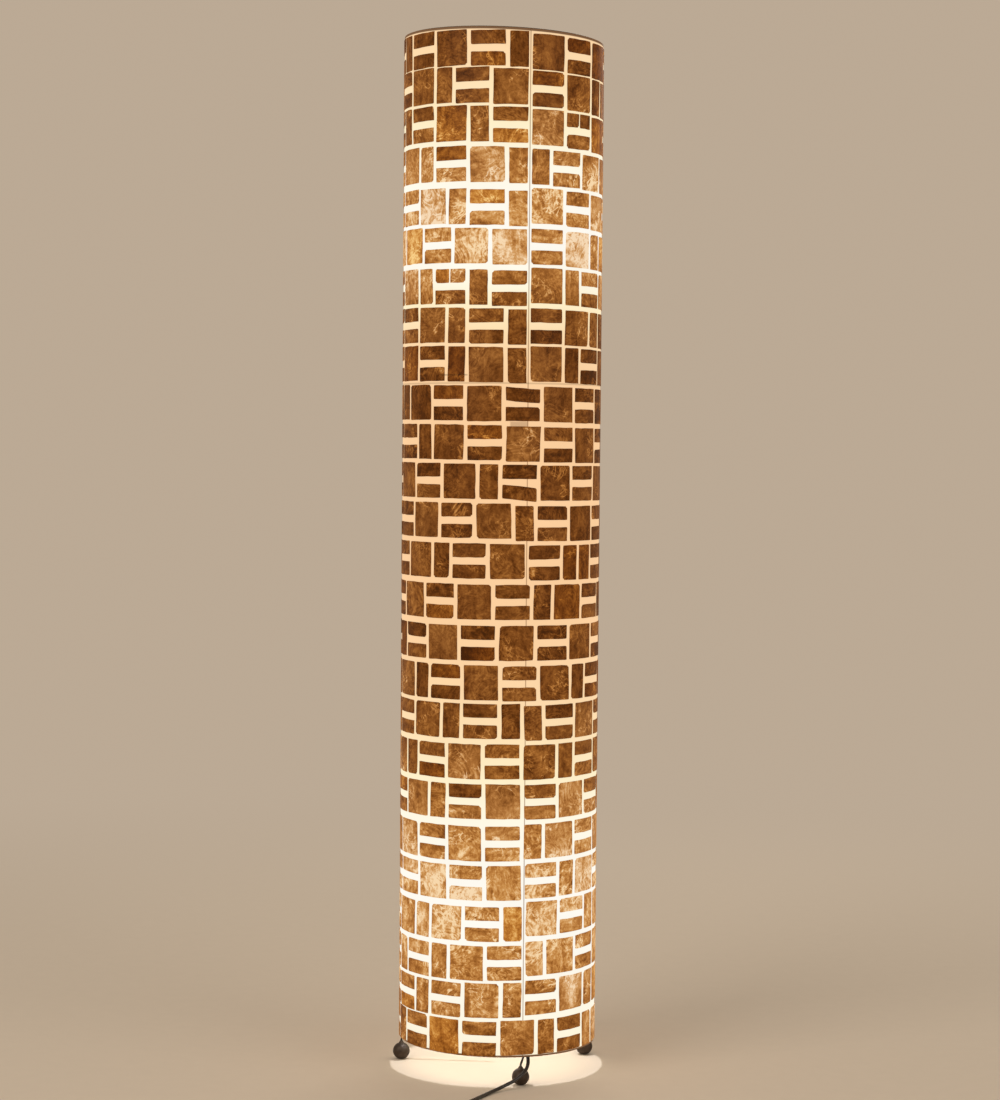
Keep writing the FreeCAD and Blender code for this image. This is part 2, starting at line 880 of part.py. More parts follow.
def glass_envelope(label, at):
    """The glass: a globe that runs down into a cone, hollow, closed at the neck by its seat."""
    centre_height = size("bulb_glass_height") - size("bulb_width") / 2
    shells = []
    for layer, inset in (("outside", Size(0, "0")), ("inside", size("glass_wall"))):
        globe_radius = size("bulb_width") / 2 - inset
        neck_radius = size("bulb_neck") / 2 - inset
        lean = math.asin(float(globe_radius - neck_radius) / float(centre_height) * 0.9)
        lean_words = f"asin({(globe_radius - neck_radius).words} / {centre_height.words} * 0.9)"
        cone_height = centre_height - Size(
            float(globe_radius) * math.sin(lean), f"{globe_radius.words} * sin({lean_words})"
        )
        cone_top = Size(float(globe_radius) * math.cos(lean), f"{globe_radius.words} * cos({lean_words})")
        globe = primitive("Sphere", f"{label}_{layer}_globe", at + UP * float(centre_height), Radius=globe_radius)
        cone = primitive(
            "Cone", f"{label}_{layer}_neck", at, Radius1=neck_radius, Radius2=cone_top, Height=cone_height
        )
        shells.append(fused(f"{label}_{layer}", [globe, cone]))
    return node(cut(f"{label}_blown", *shells), label)


def bulb_mount(label, at):
    """The inner glass stem with two lead wires and the filament between them."""
    stem = primitive(
        "Cone",
        f"{label}_stem",
        at,
        Radius1=size("bulb_stem_width") / 2,
        Radius2=size("bulb_stem_width") / 4,
        Height=size("bulb_stem_height"),
    )
    flare = primitive(
        "Cone",
        f"{label}_flare",
        at,
        Radius1=size("bulb_neck") / 2 - size("glass_wall") - size("weld_gap"),
        Radius2=size("bulb_stem_width") / 4,
        Height=size("bulb_stem_height") / 4,
    )
    top = at + UP * (number("bulb_stem_height") - number("filament"))
    half_span = number("filament_span") / 2
    spread = Vector(half_span, 0, number("filament_span") / 2)
    pieces = [stem, flare]
    for side in (-1, 1):
        lean = Vector(side * spread.x, 0, spread.z)
        pieces.append(
            primitive(
                "Cylinder",
                f"{label}_wire_{'left' if side < 0 else 'right'}",
                top,
                FreeCAD.Rotation(UP, lean),
                Radius=size("filament") / 2,
                Height=size("filament_span") / math.sqrt(2),
            )
        )
    pieces.append(
        primitive(
            "Cylinder",
            f"{label}_filament",
            top + Vector(-half_span, 0, spread.z - number("filament") / 2),
            FreeCAD.Rotation(UP, Vector(1, 0, 0)),
            Radius=size("filament") / 2,
            Height=size("filament_span"),
        )
    )
    return node(fused(f"{label}_welded", pieces), label)


lower_hub = number("floor_clearance") + number("lower_spider_rise")
upper_hub = joint_level + number("upper_spider_rise")
lamp_unit("lower", lower_hub)
lamp_unit("upper", upper_hub)
together("lock_nuts", lock_nuts)
together("cord_bushes", bushes)


# ---------------------------------------------------------------- leads inside the frame
cord = number("cord")
riser = number("riser")
lower_bush_face = lower_hub - number("stem_drop") - number("bush_height")
upper_bush_face = upper_hub - number("stem_drop") - number("bush_height")
relief_inlet = around(rod_radius - number("relief_inset"), number("front_rod_angle"), lower_bush_face - 2.0)
relief_along = Vector(0.39, -0.64, -0.66).normalize()
relief_tip = relief_inlet + relief_along * number("relief_length")


def inner_supply_lead():
    """From the lower bush, out under the front arm, to the strain relief below it."""
    start = Vector(1.6, -2.6, lower_bush_face)
    points = [
        start,
        start - UP * 9.0,
        start + Vector(1.6, -7.4, -15.5),
        start + Vector(4.8, -21.4, -18.5),
        relief_inlet * 0.47 + Vector(0.4, 0, 24.0),
        relief_inlet * 0.7 + Vector(-0.3, 0, 18.5),
        relief_inlet - relief_along * 14.0,
        relief_inlet,
    ]
    return lead("inner_supply_lead", points, cord)


left_rod_angle = number("left_foot_angle")
riser_at = around(rod_radius - 1.0, left_rod_angle - 2.2, 0)


def riser_lead():
    """From the lower bush under the left arm, up beside the left rod, and in to the upper bush."""
    outward = around(1, left_rod_angle, 0)
    start = outward * 3.2 + UP * lower_bush_face
    end = outward * 3.2 + UP * upper_bush_face
    reach = rod_radius
    points = [
        start,
        start - UP * 9.0,
        start + outward * 8.0 - UP * 15.0,
        start + outward * 22.0 - UP * 17.0,
        start + outward * reach * 0.36 - UP * 14.0,
        start + outward * reach * 0.61 - UP * 9.0,
        start + outward * reach * 0.81 - UP * 4.0,
        riser_at + UP * (lower_bush_face + 14.0),
        riser_at + UP * (upper_bush_face - 48.0),
        end + outward * reach * 0.81 - UP * 30.0,
        end + outward * reach * 0.61 - UP * 26.0,
        end + outward * reach * 0.36 - UP * 27.0,
        end + outward * 20.0 - UP * 31.0,
        end - UP * 15.0,
        end,
    ]
    radii = [min(bend_radius(*triple), riser * 8) for triple in zip(points, points[1:], points[2:])]
    return lead("riser_lead", points, riser, radii)


inner_supply_lead()
riser_lead()


def clip_ring(level):
    """A plastic clip that ties the riser lead to the left rod: one oblong band round both."""
    wall = number("clip_wall")
    rod_at = around(rod_radius, left_rod_angle, 0)
    towards_rod = rod_at - riser_at
    bands = []
    for spare in (wall + number("weld_gap"), number("weld_gap")):
        rod_part = Part.makeCylinder(number("wire") / 2 + spare, number("clip_length"), rod_at)
        lead_part = Part.makeCylinder(riser / 2 + spare, number("clip_length"), riser_at)
        width = number("wire") + 2 * spare
        bridge = Part.makeBox(towards_rod.Length, width, number("clip_length"))
        bridge.translate(Vector(0, -width / 2, 0))
        bridge.rotate(ORIGIN, UP, math.degrees(math.atan2(towards_rod.y, towards_rod.x)))
        bridge.translate(riser_at)
        bands.append(rod_part.fuse([lead_part, bridge]).removeSplitter())
    band = bands[0].cut(bands[1])
    band.translate(UP * level)
    return band


CLIP_LEVELS = 5
clip_step = (joint_level - lower_hub) / (CLIP_LEVELS + 1)
clips = [clip_ring(lower_hub + clip_step * (k + 1)) for k in range(CLIP_LEVELS)]
shape_node("riser_clips", Part.makeCompound(clips))


# ---------------------------------------------------------------- strain relief and free cord
relief_turn = FreeCAD.Rotation(UP, relief_along)
turned(
    "cord_strain_relief",
    [
        (0, 0),
        (size("relief_width") / 2, 0),
        (size("relief_width") / 2, size("relief_length") / 4),
        (size("cord") / 2 + size("fit_gap") * 2, size("relief_length")),
        (0, size("relief_length")),
    ],
    relief_inlet,
    turn=relief_turn,
)


def relief_clamp():
    """A folded clamp from the front arm round the strain relief's collar."""
    wall = number("clip_wall")
    length = number("relief_length") / 4
    collar = number("relief_width") / 2 + number("weld_gap")
    outer = Part.makeCylinder(collar + wall, length, relief_inlet, relief_along)
    inner = Part.makeCylinder(collar, length * 3, relief_inlet - relief_along * length, relief_along)
    arm_height = lower_hub + number("hub_thickness") / 2
    arm_towards = around(1, number("front_rod_angle"), 0)
    reach = relief_inlet.x * arm_towards.x + relief_inlet.y * arm_towards.y
    arm_point = Vector(arm_towards.x * reach, arm_towards.y * reach, arm_height)
    grip = Part.makeCylinder(
        number("wire") / 2 + wall + number("weld_gap"), length, arm_point - arm_towards * (length / 2), arm_towards
    )
    grip_bore = Part.makeCylinder(
        number("wire") / 2 + number("weld_gap"), length * 3, arm_point - arm_towards * (length * 1.5), arm_towards
    )
    middle = relief_inlet + relief_along * (length / 2)
    strap_path = middle - arm_point
    strap = Part.makeCylinder(wall * 1.6, strap_path.Length, arm_point, strap_path)
    return outer.fuse([grip, strap]).cut(inner).cut(grip_bore)


shape_node("cord_relief_clamp", relief_clamp())

floor_level = cord / 2 + number("cord_lift")
switch_half = size("switch_height") / 2
switch_axis = float(switch_half)
front_foot = around(foot_circle, number("front_foot_angle"), 0)


def from_foot(across, back, height):
    """A point of the cord's route, counted from the front foot."""
    return front_foot + Vector(across, back, height)


switch_at = from_foot(-109.6, -207.2, switch_axis)
switch_end = switch_at - Vector(0, number("switch_length"), 0)
coil_centre = from_foot(-39.6, -265.7, 0)
coil_entry = coil_centre + Vector(0, -number("coil_radius"), floor_level)
SUPPLY_ROUTE = [
    relief_tip,
    relief_tip + relief_along * 10.0,
    from_foot(10.4, 10.8, 38.0),
    from_foot(11.0, 2.3, 31.0),
    from_foot(8.4, -8.7, 24.8),
    from_foot(1.9, -18.7, 18.8),
    from_foot(-7.6, -26.2, 13.0),
    from_foot(-19.1, -32.7, 8.2),
    from_foot(-31.1, -41.2, 4.4),
    from_foot(-42.6, -56.2, 2.9),
    from_foot(-54.6, -78.2, floor_level),
    from_foot(-67.6, -102.2, floor_level),
    from_foot(-79.9, -127.2, floor_level),
    from_foot(-91.4, -151.2, floor_level),
    from_foot(-101.1, -170.7, floor_level + 0.6),
    from_foot(-107.6, -185.7, floor_level + 3.2),
    from_foot(-109.6, -197.2, switch_axis),
    switch_at,
]
LINK_ROUTE = [
    switch_end,
    switch_end + Vector(0, -11.0, 0),
    from_foot(-106.6, -288.2, 4.6),
    from_foot(-96.6, -300.7, floor_level),
    from_foot(-80.6, -306.6, floor_level),
    from_foot(-60.6, -307.2, floor_level),
    coil_entry,
]
lead("supply_cord", SUPPLY_ROUTE, cord)
lead("supply_cord_link", LINK_ROUTE, cord)


def half_turn(start_angle, entry_radius, exit_radius, level, rise=0.0):
    """A half turn round the coil's centre, counter-clockwise seen from above."""
    outward = Vector(math.cos(start_angle), math.sin(start_angle), 0)
    ahead = Vector(-outward.y, outward.x, 0)
    start = coil_centre + outward * entry_radius + UP * level
    end = coil_centre - outward * exit_radius + UP * (level + rise)
    crown = (start + end) / 2 + ahead * ((start - end).Length / 2)
    return Part.Arc(start, crown, end).toShape()


def coil_path():
    """Two layers: the cord spirals in on the floor, climbs at the middle and spirals out on top."""
    step = (cord + number("coil_gap")) / 2
    turns = int(number("coil_half_turns"))
    radii = [number("coil_radius") - step * k for k in range(turns + 1)]
    radii[-1] -= number("coil_tuck")
    top = floor_level + step * 2
    angle = -math.pi / 2
    edges = []
    for entry, leave in zip(radii, radii[1:]):
        edges.append(half_turn(angle, entry, leave, floor_level))
        angle += math.pi
    edges.append(half_turn(angle, radii[-1], radii[-1], floor_level, rise=step * 2))
    radii.reverse()
    for entry, leave in zip(radii, radii[1:-1]):
        angle += math.pi
        edges.append(half_turn(angle, entry, leave, top))
    return Part.Wire(edges)


def least_gap(path, width):
    """The smallest distance between the surfaces of turns that aren't neighbours along the path."""
    step = width / 2
    points = path.discretize(Distance=step)
    apart = int(math.pi * width * 2 / step)
    nearest = min(
        (points[a] - points[b]).Length
        for a in range(0, len(points), 2)
        for b in range(a + apart, len(points))
    )
    return nearest - width


coil = coil_path()
coil_shape = tube_along(coil, cord)
report_tube("supply_cord_coil", coil_shape, coil, cord, [])
print(f"supply_cord_coil: least gap to itself {least_gap(coil, cord):.2f}")
shape_node("supply_cord_coil", coil_shape)
coil_exit = coil.OrderedVertexes[-1].Point
plug_at = coil_exit + Vector(48.0, 0, 0)
lead("supply_cord_tail", [coil_exit, plug_at], cord)


# ---------------------------------------------------------------- inline switch
def upright_edge(edge):
    """True for a straight upright edge."""
    points = [vertex.Point for vertex in edge.Vertexes]
    return len(points) == 2 and abs(points[0].x - points[1].x) + abs(points[0].y - points[1].y) < 1e-6


along_switch = FreeCAD.Rotation(UP, -90)


def switch_point(along, across, height):
    """A point of the switch: along the cord, across it, and above the case's joint."""
    return switch_at + along_switch.multVec(Vector(along, across, height))


def switch_half_shell(label, is_upper):
    """One half of the case: a rounded tray with end mouths for the cord and a closed face."""
    body = new_body(label)
    base = sketch_on(body, f"{label}_plan", "XY_Plane")
    rectangle(base, 0 * size("switch_length"), size("switch_width") * -0.5, size("switch_length"), size("switch_width"))
    pad(body, base, switch_half, f"{label}_block")
    round_edges(body, size("switch_corner"), f"{label}_corners", upright_edge)
    doc.recompute()
    hollow = sketch_on(body, f"{label}_hollow_plan", "XY_Plane")
    wall = size("switch_wall")
    rectangle(
        hollow,
        wall * 2,
        size("switch_width") * -0.5 + wall,
        size("switch_length") - wall * 4,
        size("switch_width") - wall * 2,
    )
    pocket(body, hollow, switch_half - wall, f"{label}_hollow", reversed_cut=True)
    if is_upper:
        window = sketch_on(body, f"{label}_window_plan", "XY_Plane")
        gap = size("rocker_gap")
        rectangle(
            window,
            size("switch_length") / 2 - size("rocker_length") / 2 - gap * 3,
            size("rocker_width") * -0.5 - gap,
            size("rocker_length") + gap * 6,
            size("rocker_width") + gap * 2,
        )
        pocket(body, window, switch_half, f"{label}_window", reversed_cut=True)
    else:
        holes = sketch_on(body, f"{label}_screw_plan", "XY_Plane")
        for share in (0.2, 0.8):
            circle(holes, size("screw_width") + size("fit_gap"), size("switch_length") * share, Size(0, "0"))
        pocket(body, holes, switch_half, f"{label}_screw_holes", reversed_cut=True)
    turn = along_switch if is_upper else along_switch * FreeCAD.Rotation(Vector(1, 0, 0), 180)
    return node(body, label, switch_at, turn)


switch_half_shell("switch_upper_shell", True)
switch_half_shell("switch_lower_shell", False)


def switch_rocker():
    """The rocker: a shallow vee of two faces on a hub, with its trunnions, tilted about the crosswise pin."""
    half_length = size("rocker_length") / 2
    depth = switch_half - size("switch_wall") * 2
    proud = size("switch_wall") * 0.9
    body = new_body("switch_rocker")
    side = sketch_on(body, "switch_rocker_side", "XZ_Plane")
    outline(
        side,
        [
            (half_length * -1, depth),
            (half_length * -0.45, size("switch_wall")),
            (half_length * 0.45, size("switch_wall")),
            (half_length, depth),
            (half_length, depth + size("switch_wall") + proud * 1.4),
            (Size(0, "0"), depth + size("switch_wall") + proud * 0.8),
            (half_length * -1, depth + size("switch_wall") + proud * 0.4),
        ],
    )
    pad(body, side, size("rocker_width"), "switch_rocker_block", midplane=True)
    pin = sketch_on(body, "switch_rocker_pin_plan", "XZ_Plane")
    circle(pin, size("rocker_pin"), Size(0, "0"), depth)
    pad(body, pin, size("rocker_width") + size("switch_wall") * 2, "switch_rocker_trunnions", midplane=True)
    return node(body, "switch_rocker", switch_point(number("switch_length") / 2, 0, 0), along_switch)


switch_rocker()


def switch_insides():
    """Terminal blocks at both ends of the case, and the screws that hold its halves."""
    wall = number("switch_wall")
    length = number("switch_length")
    floor_inside = wall - switch_axis
    blocks = []
    for share in (0.34, 0.66):
        for across in (-1, 1):
            block = Part.makeBox(5.0, 4.0, 5.0, Vector(length * share - 2.5, across * 5.0 - 2.0, floor_inside))
            blocks.append(block)
    shape_node("switch_terminals", Part.makeCompound(blocks), switch_at, along_switch)
    screws = []
    for share in (0.2, 0.8):
        foot = Vector(length * share, 0, 0.2 - switch_axis)
        shank = Part.makeCylinder(number("screw_width") / 2, switch_axis + wall, foot)
        head = Part.makeCylinder(number("screw_head") / 2, wall * 0.7, foot + UP * wall)
        slot = Part.makeBox(number("screw_head"), 0.6, 0.8, foot - Vector(number("screw_head") / 2, 0.3, 0))
        screws.append(shank.fuse(head).cut(slot))
    shape_node("switch_screws", Part.makeCompound(screws), switch_at, along_switch)


switch_insides()

# ---------------------------------------------------------------- plug
def plug_body():
    """The moulded plug: a tapered boot and a flat rounded grip."""
    body = new_body("plug_body")
    plan = sketch_on(body, "plug_body_plan", "XY_Plane")
    boot = size("boot_length")
    length = size("plug_length")
    half = size("plug_width") / 2
    mouth = size("cord") / 2 + size("fit_gap") * 4
    outline(
        plan,
        [
            (Size(0, "0"), mouth * -1),
            (boot, mouth * -1.6),
            (boot + length * 0.3, half * -0.9),
            (boot + length * 0.8, half * -1),
            (boot + length, half * -0.94),
            (boot + length, half * 0.94),
            (boot + length * 0.8, half),
            (boot + length * 0.3, half * 0.9),
            (boot, mouth * 1.6),
            (Size(0, "0"), mouth),
        ],
    )
    pad(body, plan, size("plug_height"), "plug_body_block", midplane=True)
    doc.recompute()
    side = sketch_on(body, "plug_body_side", "XZ_Plane")
    top = size("plug_height") / 2
    for sign in (1, -1):
        outline(
            side,
            [
                (boot * -0.2, mouth * sign),
                (boot, mouth * (1.6 * sign)),
                (boot + length * 0.4, top * sign),
                (boot + length * 0.4, top * (1.6 * sign)),
                (boot * -0.2, top * (1.6 * sign)),
            ],
        )
    taper = body.newObject("PartDesign::Pocket", "plug_body_taper")
    taper.Profile = side
    taper.Midplane = True
    taper.Type = "ThroughAll"
    doc.recompute()
    return node(body, "plug_body", plug_at)


plug_body()


def plug_pins():
    """Two round pins that stand in the plug's face."""
    face = plug_at + Vector(number("boot_length") + number("plug_length"), 0, 0)
    radius = number("pin_width") / 2
    length = number("pin_length")
    pins = []
    for side in (-1, 1):
        foot = face + Vector(0, side * number("pin_spacing") / 2, 0)
        shank = Part.makeCylinder(radius, length - radius, foot, Vector(1, 0, 0))
        nose = Part.makeSphere(radius, foot + Vector(length - radius, 0, 0))
        pins.append(shank.fuse(nose).removeSplitter())
    return shape_node("plug_pins", Part.makeCompound(pins))


plug_pins()

# ---------------------------------------------------------------- check and write
doc.recompute()
os.makedirs("parts", exist_ok=True)
for thing in doc.Objects:
    if {"Invalid", "Error"} & set(thing.State):
        raise RuntimeError(f"{thing.Label} failed: {thing.State}")
for thing in nodes:
    if thing.Shape.isNull() or not thing.Shape.isValid():
        raise RuntimeError(f"{thing.Label} has no valid shape")
for thing in nodes:
    thing.Shape.exportStep(f"parts/{thing.Label}.step")
print(f"{len(nodes)} sub-parts, {sum(len(thing.Shape.Solids) for thing in nodes)} solids")
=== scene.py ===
# %% [markdown]
# # Column floor lamp
# A floor lamp 1.5 m tall: a tube of rolled resin sheet, covered outside with square shell chips, lit from inside by
# two bulbs, on a black wire frame with three ball feet. A black flex leaves it beside the front foot.
#
# The CAD gives every size and place, so this script starts from the CAD frame, keeps most of its pieces, and gives
# each one a material. Only the chips and the flex are modelled anew: the chips because their edges are wavy on the
# real lamp, and the flex because it is one smooth curve.

import json
import math
import random
from collections import namedtuple
from fnmatch import fnmatch

import bmesh
import bpy
from mathutils import Matrix, Vector, noise

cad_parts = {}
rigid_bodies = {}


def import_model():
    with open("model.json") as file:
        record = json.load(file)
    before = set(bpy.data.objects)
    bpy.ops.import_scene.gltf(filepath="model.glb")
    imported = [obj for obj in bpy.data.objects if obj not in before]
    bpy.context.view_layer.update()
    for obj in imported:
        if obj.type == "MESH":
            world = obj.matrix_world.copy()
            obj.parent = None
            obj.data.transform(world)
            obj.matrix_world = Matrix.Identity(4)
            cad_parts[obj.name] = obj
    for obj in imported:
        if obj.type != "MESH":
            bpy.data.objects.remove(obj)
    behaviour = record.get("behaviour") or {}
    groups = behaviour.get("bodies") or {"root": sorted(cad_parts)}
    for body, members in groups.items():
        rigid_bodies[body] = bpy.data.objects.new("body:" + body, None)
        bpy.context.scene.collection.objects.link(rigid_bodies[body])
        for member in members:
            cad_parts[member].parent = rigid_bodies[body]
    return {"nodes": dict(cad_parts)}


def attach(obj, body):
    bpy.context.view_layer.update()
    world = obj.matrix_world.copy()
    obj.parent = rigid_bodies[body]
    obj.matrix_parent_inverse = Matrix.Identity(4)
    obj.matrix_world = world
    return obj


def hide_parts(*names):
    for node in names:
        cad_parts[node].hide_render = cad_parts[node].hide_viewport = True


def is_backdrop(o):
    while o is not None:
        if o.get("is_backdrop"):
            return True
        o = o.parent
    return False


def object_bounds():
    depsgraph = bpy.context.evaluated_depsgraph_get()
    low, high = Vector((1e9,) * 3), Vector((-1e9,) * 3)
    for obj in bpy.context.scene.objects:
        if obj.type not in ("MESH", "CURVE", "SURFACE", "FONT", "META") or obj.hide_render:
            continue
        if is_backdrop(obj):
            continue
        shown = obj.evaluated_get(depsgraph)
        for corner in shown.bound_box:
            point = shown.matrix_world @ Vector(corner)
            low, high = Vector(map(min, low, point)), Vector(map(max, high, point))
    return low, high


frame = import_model()
cad_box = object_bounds()
NODES = frame["nodes"]
MM = 0.001
print(f"CAD frame: {len(NODES)} pieces, {cad_box[1][2] - cad_box[0][2]:.3f} m tall")

# %% [markdown]
# ## Camera
# A long lens far away shows a tall object with little convergence. The camera was fitted to the rims, the courses
# and the feet in the photograph: it looks 3.4 degrees down and has a slight roll. A small rise of the lens frames
# the lamp, so the camera doesn't have to tilt for it.

# %% The camera
CAMERA_AT = (0.0, -3.842, 0.911)
CAMERA_TILT = 86.6  # degrees, where 90 is level
CAMERA_ROLL = 0.44
LENS = 85.75
SENSOR = 36.0
RISE = 0.048  # how far the lens is shifted up, as a share of the picture

scene = bpy.context.scene
scene.view_settings.view_transform = "Standard"
camera_data = bpy.data.cameras.new("camera")
camera_data.lens = LENS
camera_data.sensor_width = SENSOR
camera_data.shift_y = RISE
camera = bpy.data.objects.new("camera", camera_data)
camera.matrix_world = (
    Matrix.Translation(CAMERA_AT)
    @ Matrix.Rotation(math.radians(CAMERA_TILT), 4, "X")
    @ Matrix.Rotation(math.radians(CAMERA_ROLL), 4, "Z")
)
scene.collection.objects.link(camera)
scene.camera = camera
print(f"camera: {LENS:.1f} mm lens, {-CAMERA_AT[1]:.2f} m in front, {CAMERA_AT[2]:.2f} m up")


# %% [markdown]
# ## Short words for shader nodes
# A material is a small network of nodes. Written out, each node takes five lines and hides the idea. This helper
# makes a node, feeds its sockets and hands back its output in one call, so that the materials below read as recipes.

# %% A helper that builds materials
class Shader:
    """The node tree of a new material or world, built by short calls."""

    def __init__(self, owner):
        owner.use_nodes = True
        self.owner = owner
        self.tree = owner.node_tree
        self.tree.nodes.clear()
        if isinstance(owner, bpy.types.Material):
            self.place = self.add("ShaderNodeTexCoord").outputs["Object"]

    def add(self, kind, inputs=None, **settings):
        """A node with its settings and inputs, which are numbers, colours or other nodes' outputs."""
        made = self.tree.nodes.new(kind)
        for key, value in settings.items():
            setattr(made, key, value)
        for key, value in (inputs or {}).items():
            self.feed(made.inputs[key], value)
        return made

    def feed(self, socket, value):
        if isinstance(value, bpy.types.NodeSocket):
            self.tree.links.new(value, socket)
        elif isinstance(value, tuple) and len(value) == 3 and len(socket.default_value) == 4:
            socket.default_value = (*value, 1.0)
        else:
            socket.default_value = value

    def math(self, operation, first, second=0.0, third=0.0, clamp=False):
        made = self.add("ShaderNodeMath", {0: first, 1: second, 2: third}, operation=operation)
        made.use_clamp = clamp
        return made.outputs[0]

    def vector(self, operation, first, second):
        return self.add("ShaderNodeVectorMath", {0: first, 1: second}, operation=operation).outputs[0]

    def scaled(self, colour, factor):
        """A colour times a number."""
        return self.add("ShaderNodeVectorMath", {0: colour, "Scale": factor}, operation="SCALE").outputs[0]

    def remap(self, value, low, high, at_low=0.0, at_high=1.0):
        """at_low for values up to low, at_high from high on, and between them in between."""
        ends = {"Value": value, "From Min": low, "From Max": high, "To Min": at_low, "To Max": at_high}
        return self.add("ShaderNodeMapRange", ends).outputs[0]

    def noise(self, scale, detail=3.0, distortion=0.0, rough=0.5, place=None):
        values = {"Scale": scale, "Detail": detail, "Distortion": distortion, "Roughness": rough}
        return self.add("ShaderNodeTexNoise", {"Vector": place or self.place, **values}).outputs[0]

    def ramp(self, factor, *stops):
        made = self.add("ShaderNodeValToRGB", {"Fac": factor})
        elements = made.color_ramp.elements
        while len(elements) < len(stops):
            elements.new(0.5)
        for element, (position, colour) in zip(elements, stops):
            element.position = position
            element.color = (*colour, 1.0)
        return made.outputs["Color"]

    def mix(self, factor, first, second, blend="MIX"):
        made = self.add("ShaderNodeMix", data_type="RGBA", blend_type=blend)
        for key, value in (("Factor", factor), ("A", first), ("B", second)):
            self.feed(made.inputs[key], value)
        return made.outputs["Result"]

    def bump(self, height, distance, strength=0.5):
        values = {"Height": height, "Distance": distance, "Strength": strength}
        return self.add("ShaderNodeBump", values).outputs[0]

    def surface(self, **inputs):
        """The finished material: one Principled surface with these inputs."""
        inputs = {key.replace("_", " "): value for key, value in inputs.items()}
        return self.output(self.add("ShaderNodeBsdfPrincipled", inputs))

    def output(self, node):
        kind = "World" if isinstance(self.owner, bpy.types.World) else "Material"
        self.add(f"ShaderNodeOutput{kind}", {"Surface": node.outputs[0]})
        print(f"{kind.lower()} {self.owner.name}: {len(self.tree.nodes)} nodes")
        return self.owner


print("words for nodes:", ", ".join(word for word in vars(Shader) if not word.startswith("_")))


# %% [markdown]
# ## The light inside
# Both bulbs whiten the sheet and lighten the chips near them, and the middle of the tube stays dim. Light that
# really passes through the sheet would be slow and noisy to render, so the sheet and the chips glow by themselves.
# How strongly depends on the height alone, as on the real lamp: a bell round each bulb, steeper on one side.

# %% How bright the tube is at each height
# Height of each glow's middle, and its reach above and below, in metres.
GLOWS = ((0.262, 0.165, 0.245), (1.205, 0.150, 0.085))


def bulb_glow(shader):
    """1 at a bulb's height, falling to 0 away from both."""
    height = shader.add("ShaderNodeSeparateXYZ", {0: shader.place}).outputs["Z"]
    total = 0.0
    for level, above, below in GLOWS:
        up = shader.math("MAXIMUM", shader.math("SUBTRACT", height, level), 0.0)
        down = shader.math("MAXIMUM", shader.math("SUBTRACT", level, height), 0.0)
        away = shader.math("ADD", shader.math("DIVIDE", up, above), shader.math("DIVIDE", down, below))
        bell = shader.math("EXPONENT", shader.math("MULTIPLY", shader.math("MULTIPLY", away, away), -1.0))
        total = shader.math("ADD", bell, total)
    return total


for level, above, below in GLOWS:
    print(f"glow at {level:.3f} m: reaches {above * 1000:.0f} mm up and {below * 1000:.0f} mm down")

# %% [markdown]
# ## Shadows and thin lines on the tube
# The two rear rods and the ring at the joint darken the glow a little. The seam, where the sheet's two edges meet,
# and the rims, which were trimmed slightly askew, show as thin brown lines. Pieces of mesh could show them too, but
# they are tones of the sheet and not things on it. All of them are bands round a value of the height or of the angle
# about the axis, so one helper draws them, and a patch is the place where two bands cross.

# %% Where the bands lie, in degrees about the axis and in metres up
SEAM, SEAM_HALF, SEAM_DEPTH = 15.0, 0.40, 0.60
RODS, ROD_HALF = (-97.0, 113.0), 1.2
JOINT, JOINT_HALF = 1.001, 0.0016
SHADOW_DEPTH = 0.10
JOINT_DEPTH = SHADOW_DEPTH * 3
# Each rim: its level at the axis, how many degrees it is askew, and how wide its dark line is.
TOP_SLANT, FOOT_SLANT = 1.9, 0.7
RIMS = ((1.497, TOP_SLANT, 0.0040), (0.041, FOOT_SLANT, 0.0028))
# A middle and a half width in degrees, a level and a half height in metres, and how much darker it is.
DARK_PATCH = (10.0, 5.4, 0.943, 0.0050, 0.40)
RING_SHADOW = (-28.0, 9.0, 1.0125, 0.0013, 0.45)
print(f"seam at {SEAM:.0f} degrees, rods at {RODS}, joint at {JOINT:.3f} m")


# %% Bands of shadow
def band(shader, distance, half_width, depth, soft=0.6):
    """1, less depth inside a band of this half width, with a soft edge."""
    away = shader.math("ABSOLUTE", distance)
    return shader.remap(away, half_width * (1 - soft), half_width, 1.0 - depth, 1.0)


def patch(shader, angle, height, middle, half_angle, level, half_height, depth):
    """A band of shadow that reaches only so far round the tube."""
    beside = band(shader, shader.math("SUBTRACT", angle, middle), half_angle, depth, soft=0.15)
    around = band(shader, shader.math("SUBTRACT", height, level), half_height, depth, soft=0.4)
    return shader.math("MAXIMUM", beside, around)


def tube_place(shader):
    """The angle about the axis in degrees, 0 at the front and growing to the right, and the three coordinates."""
    spot = shader.add("ShaderNodeSeparateXYZ", {0: shader.place}).outputs
    back = shader.math("MULTIPLY", spot["Y"], -1.0)
    angle = shader.math("MULTIPLY", shader.math("ARCTAN2", spot["X"], back), 180.0 / math.pi)
    return angle, spot


def frame_shadow(shader, angle, height):
    """The shadows that the rods and the joint's ring throw on the sheet."""
    total = band(shader, shader.math("SUBTRACT", height, JOINT), JOINT_HALF, JOINT_DEPTH)
    for rod in RODS:
        shadow = band(shader, shader.math("SUBTRACT", angle, rod), ROD_HALF, SHADOW_DEPTH)
        total = shader.math("MULTIPLY", total, shadow)
    return shader.math("MULTIPLY", total, patch(shader, angle, height, *RING_SHADOW))


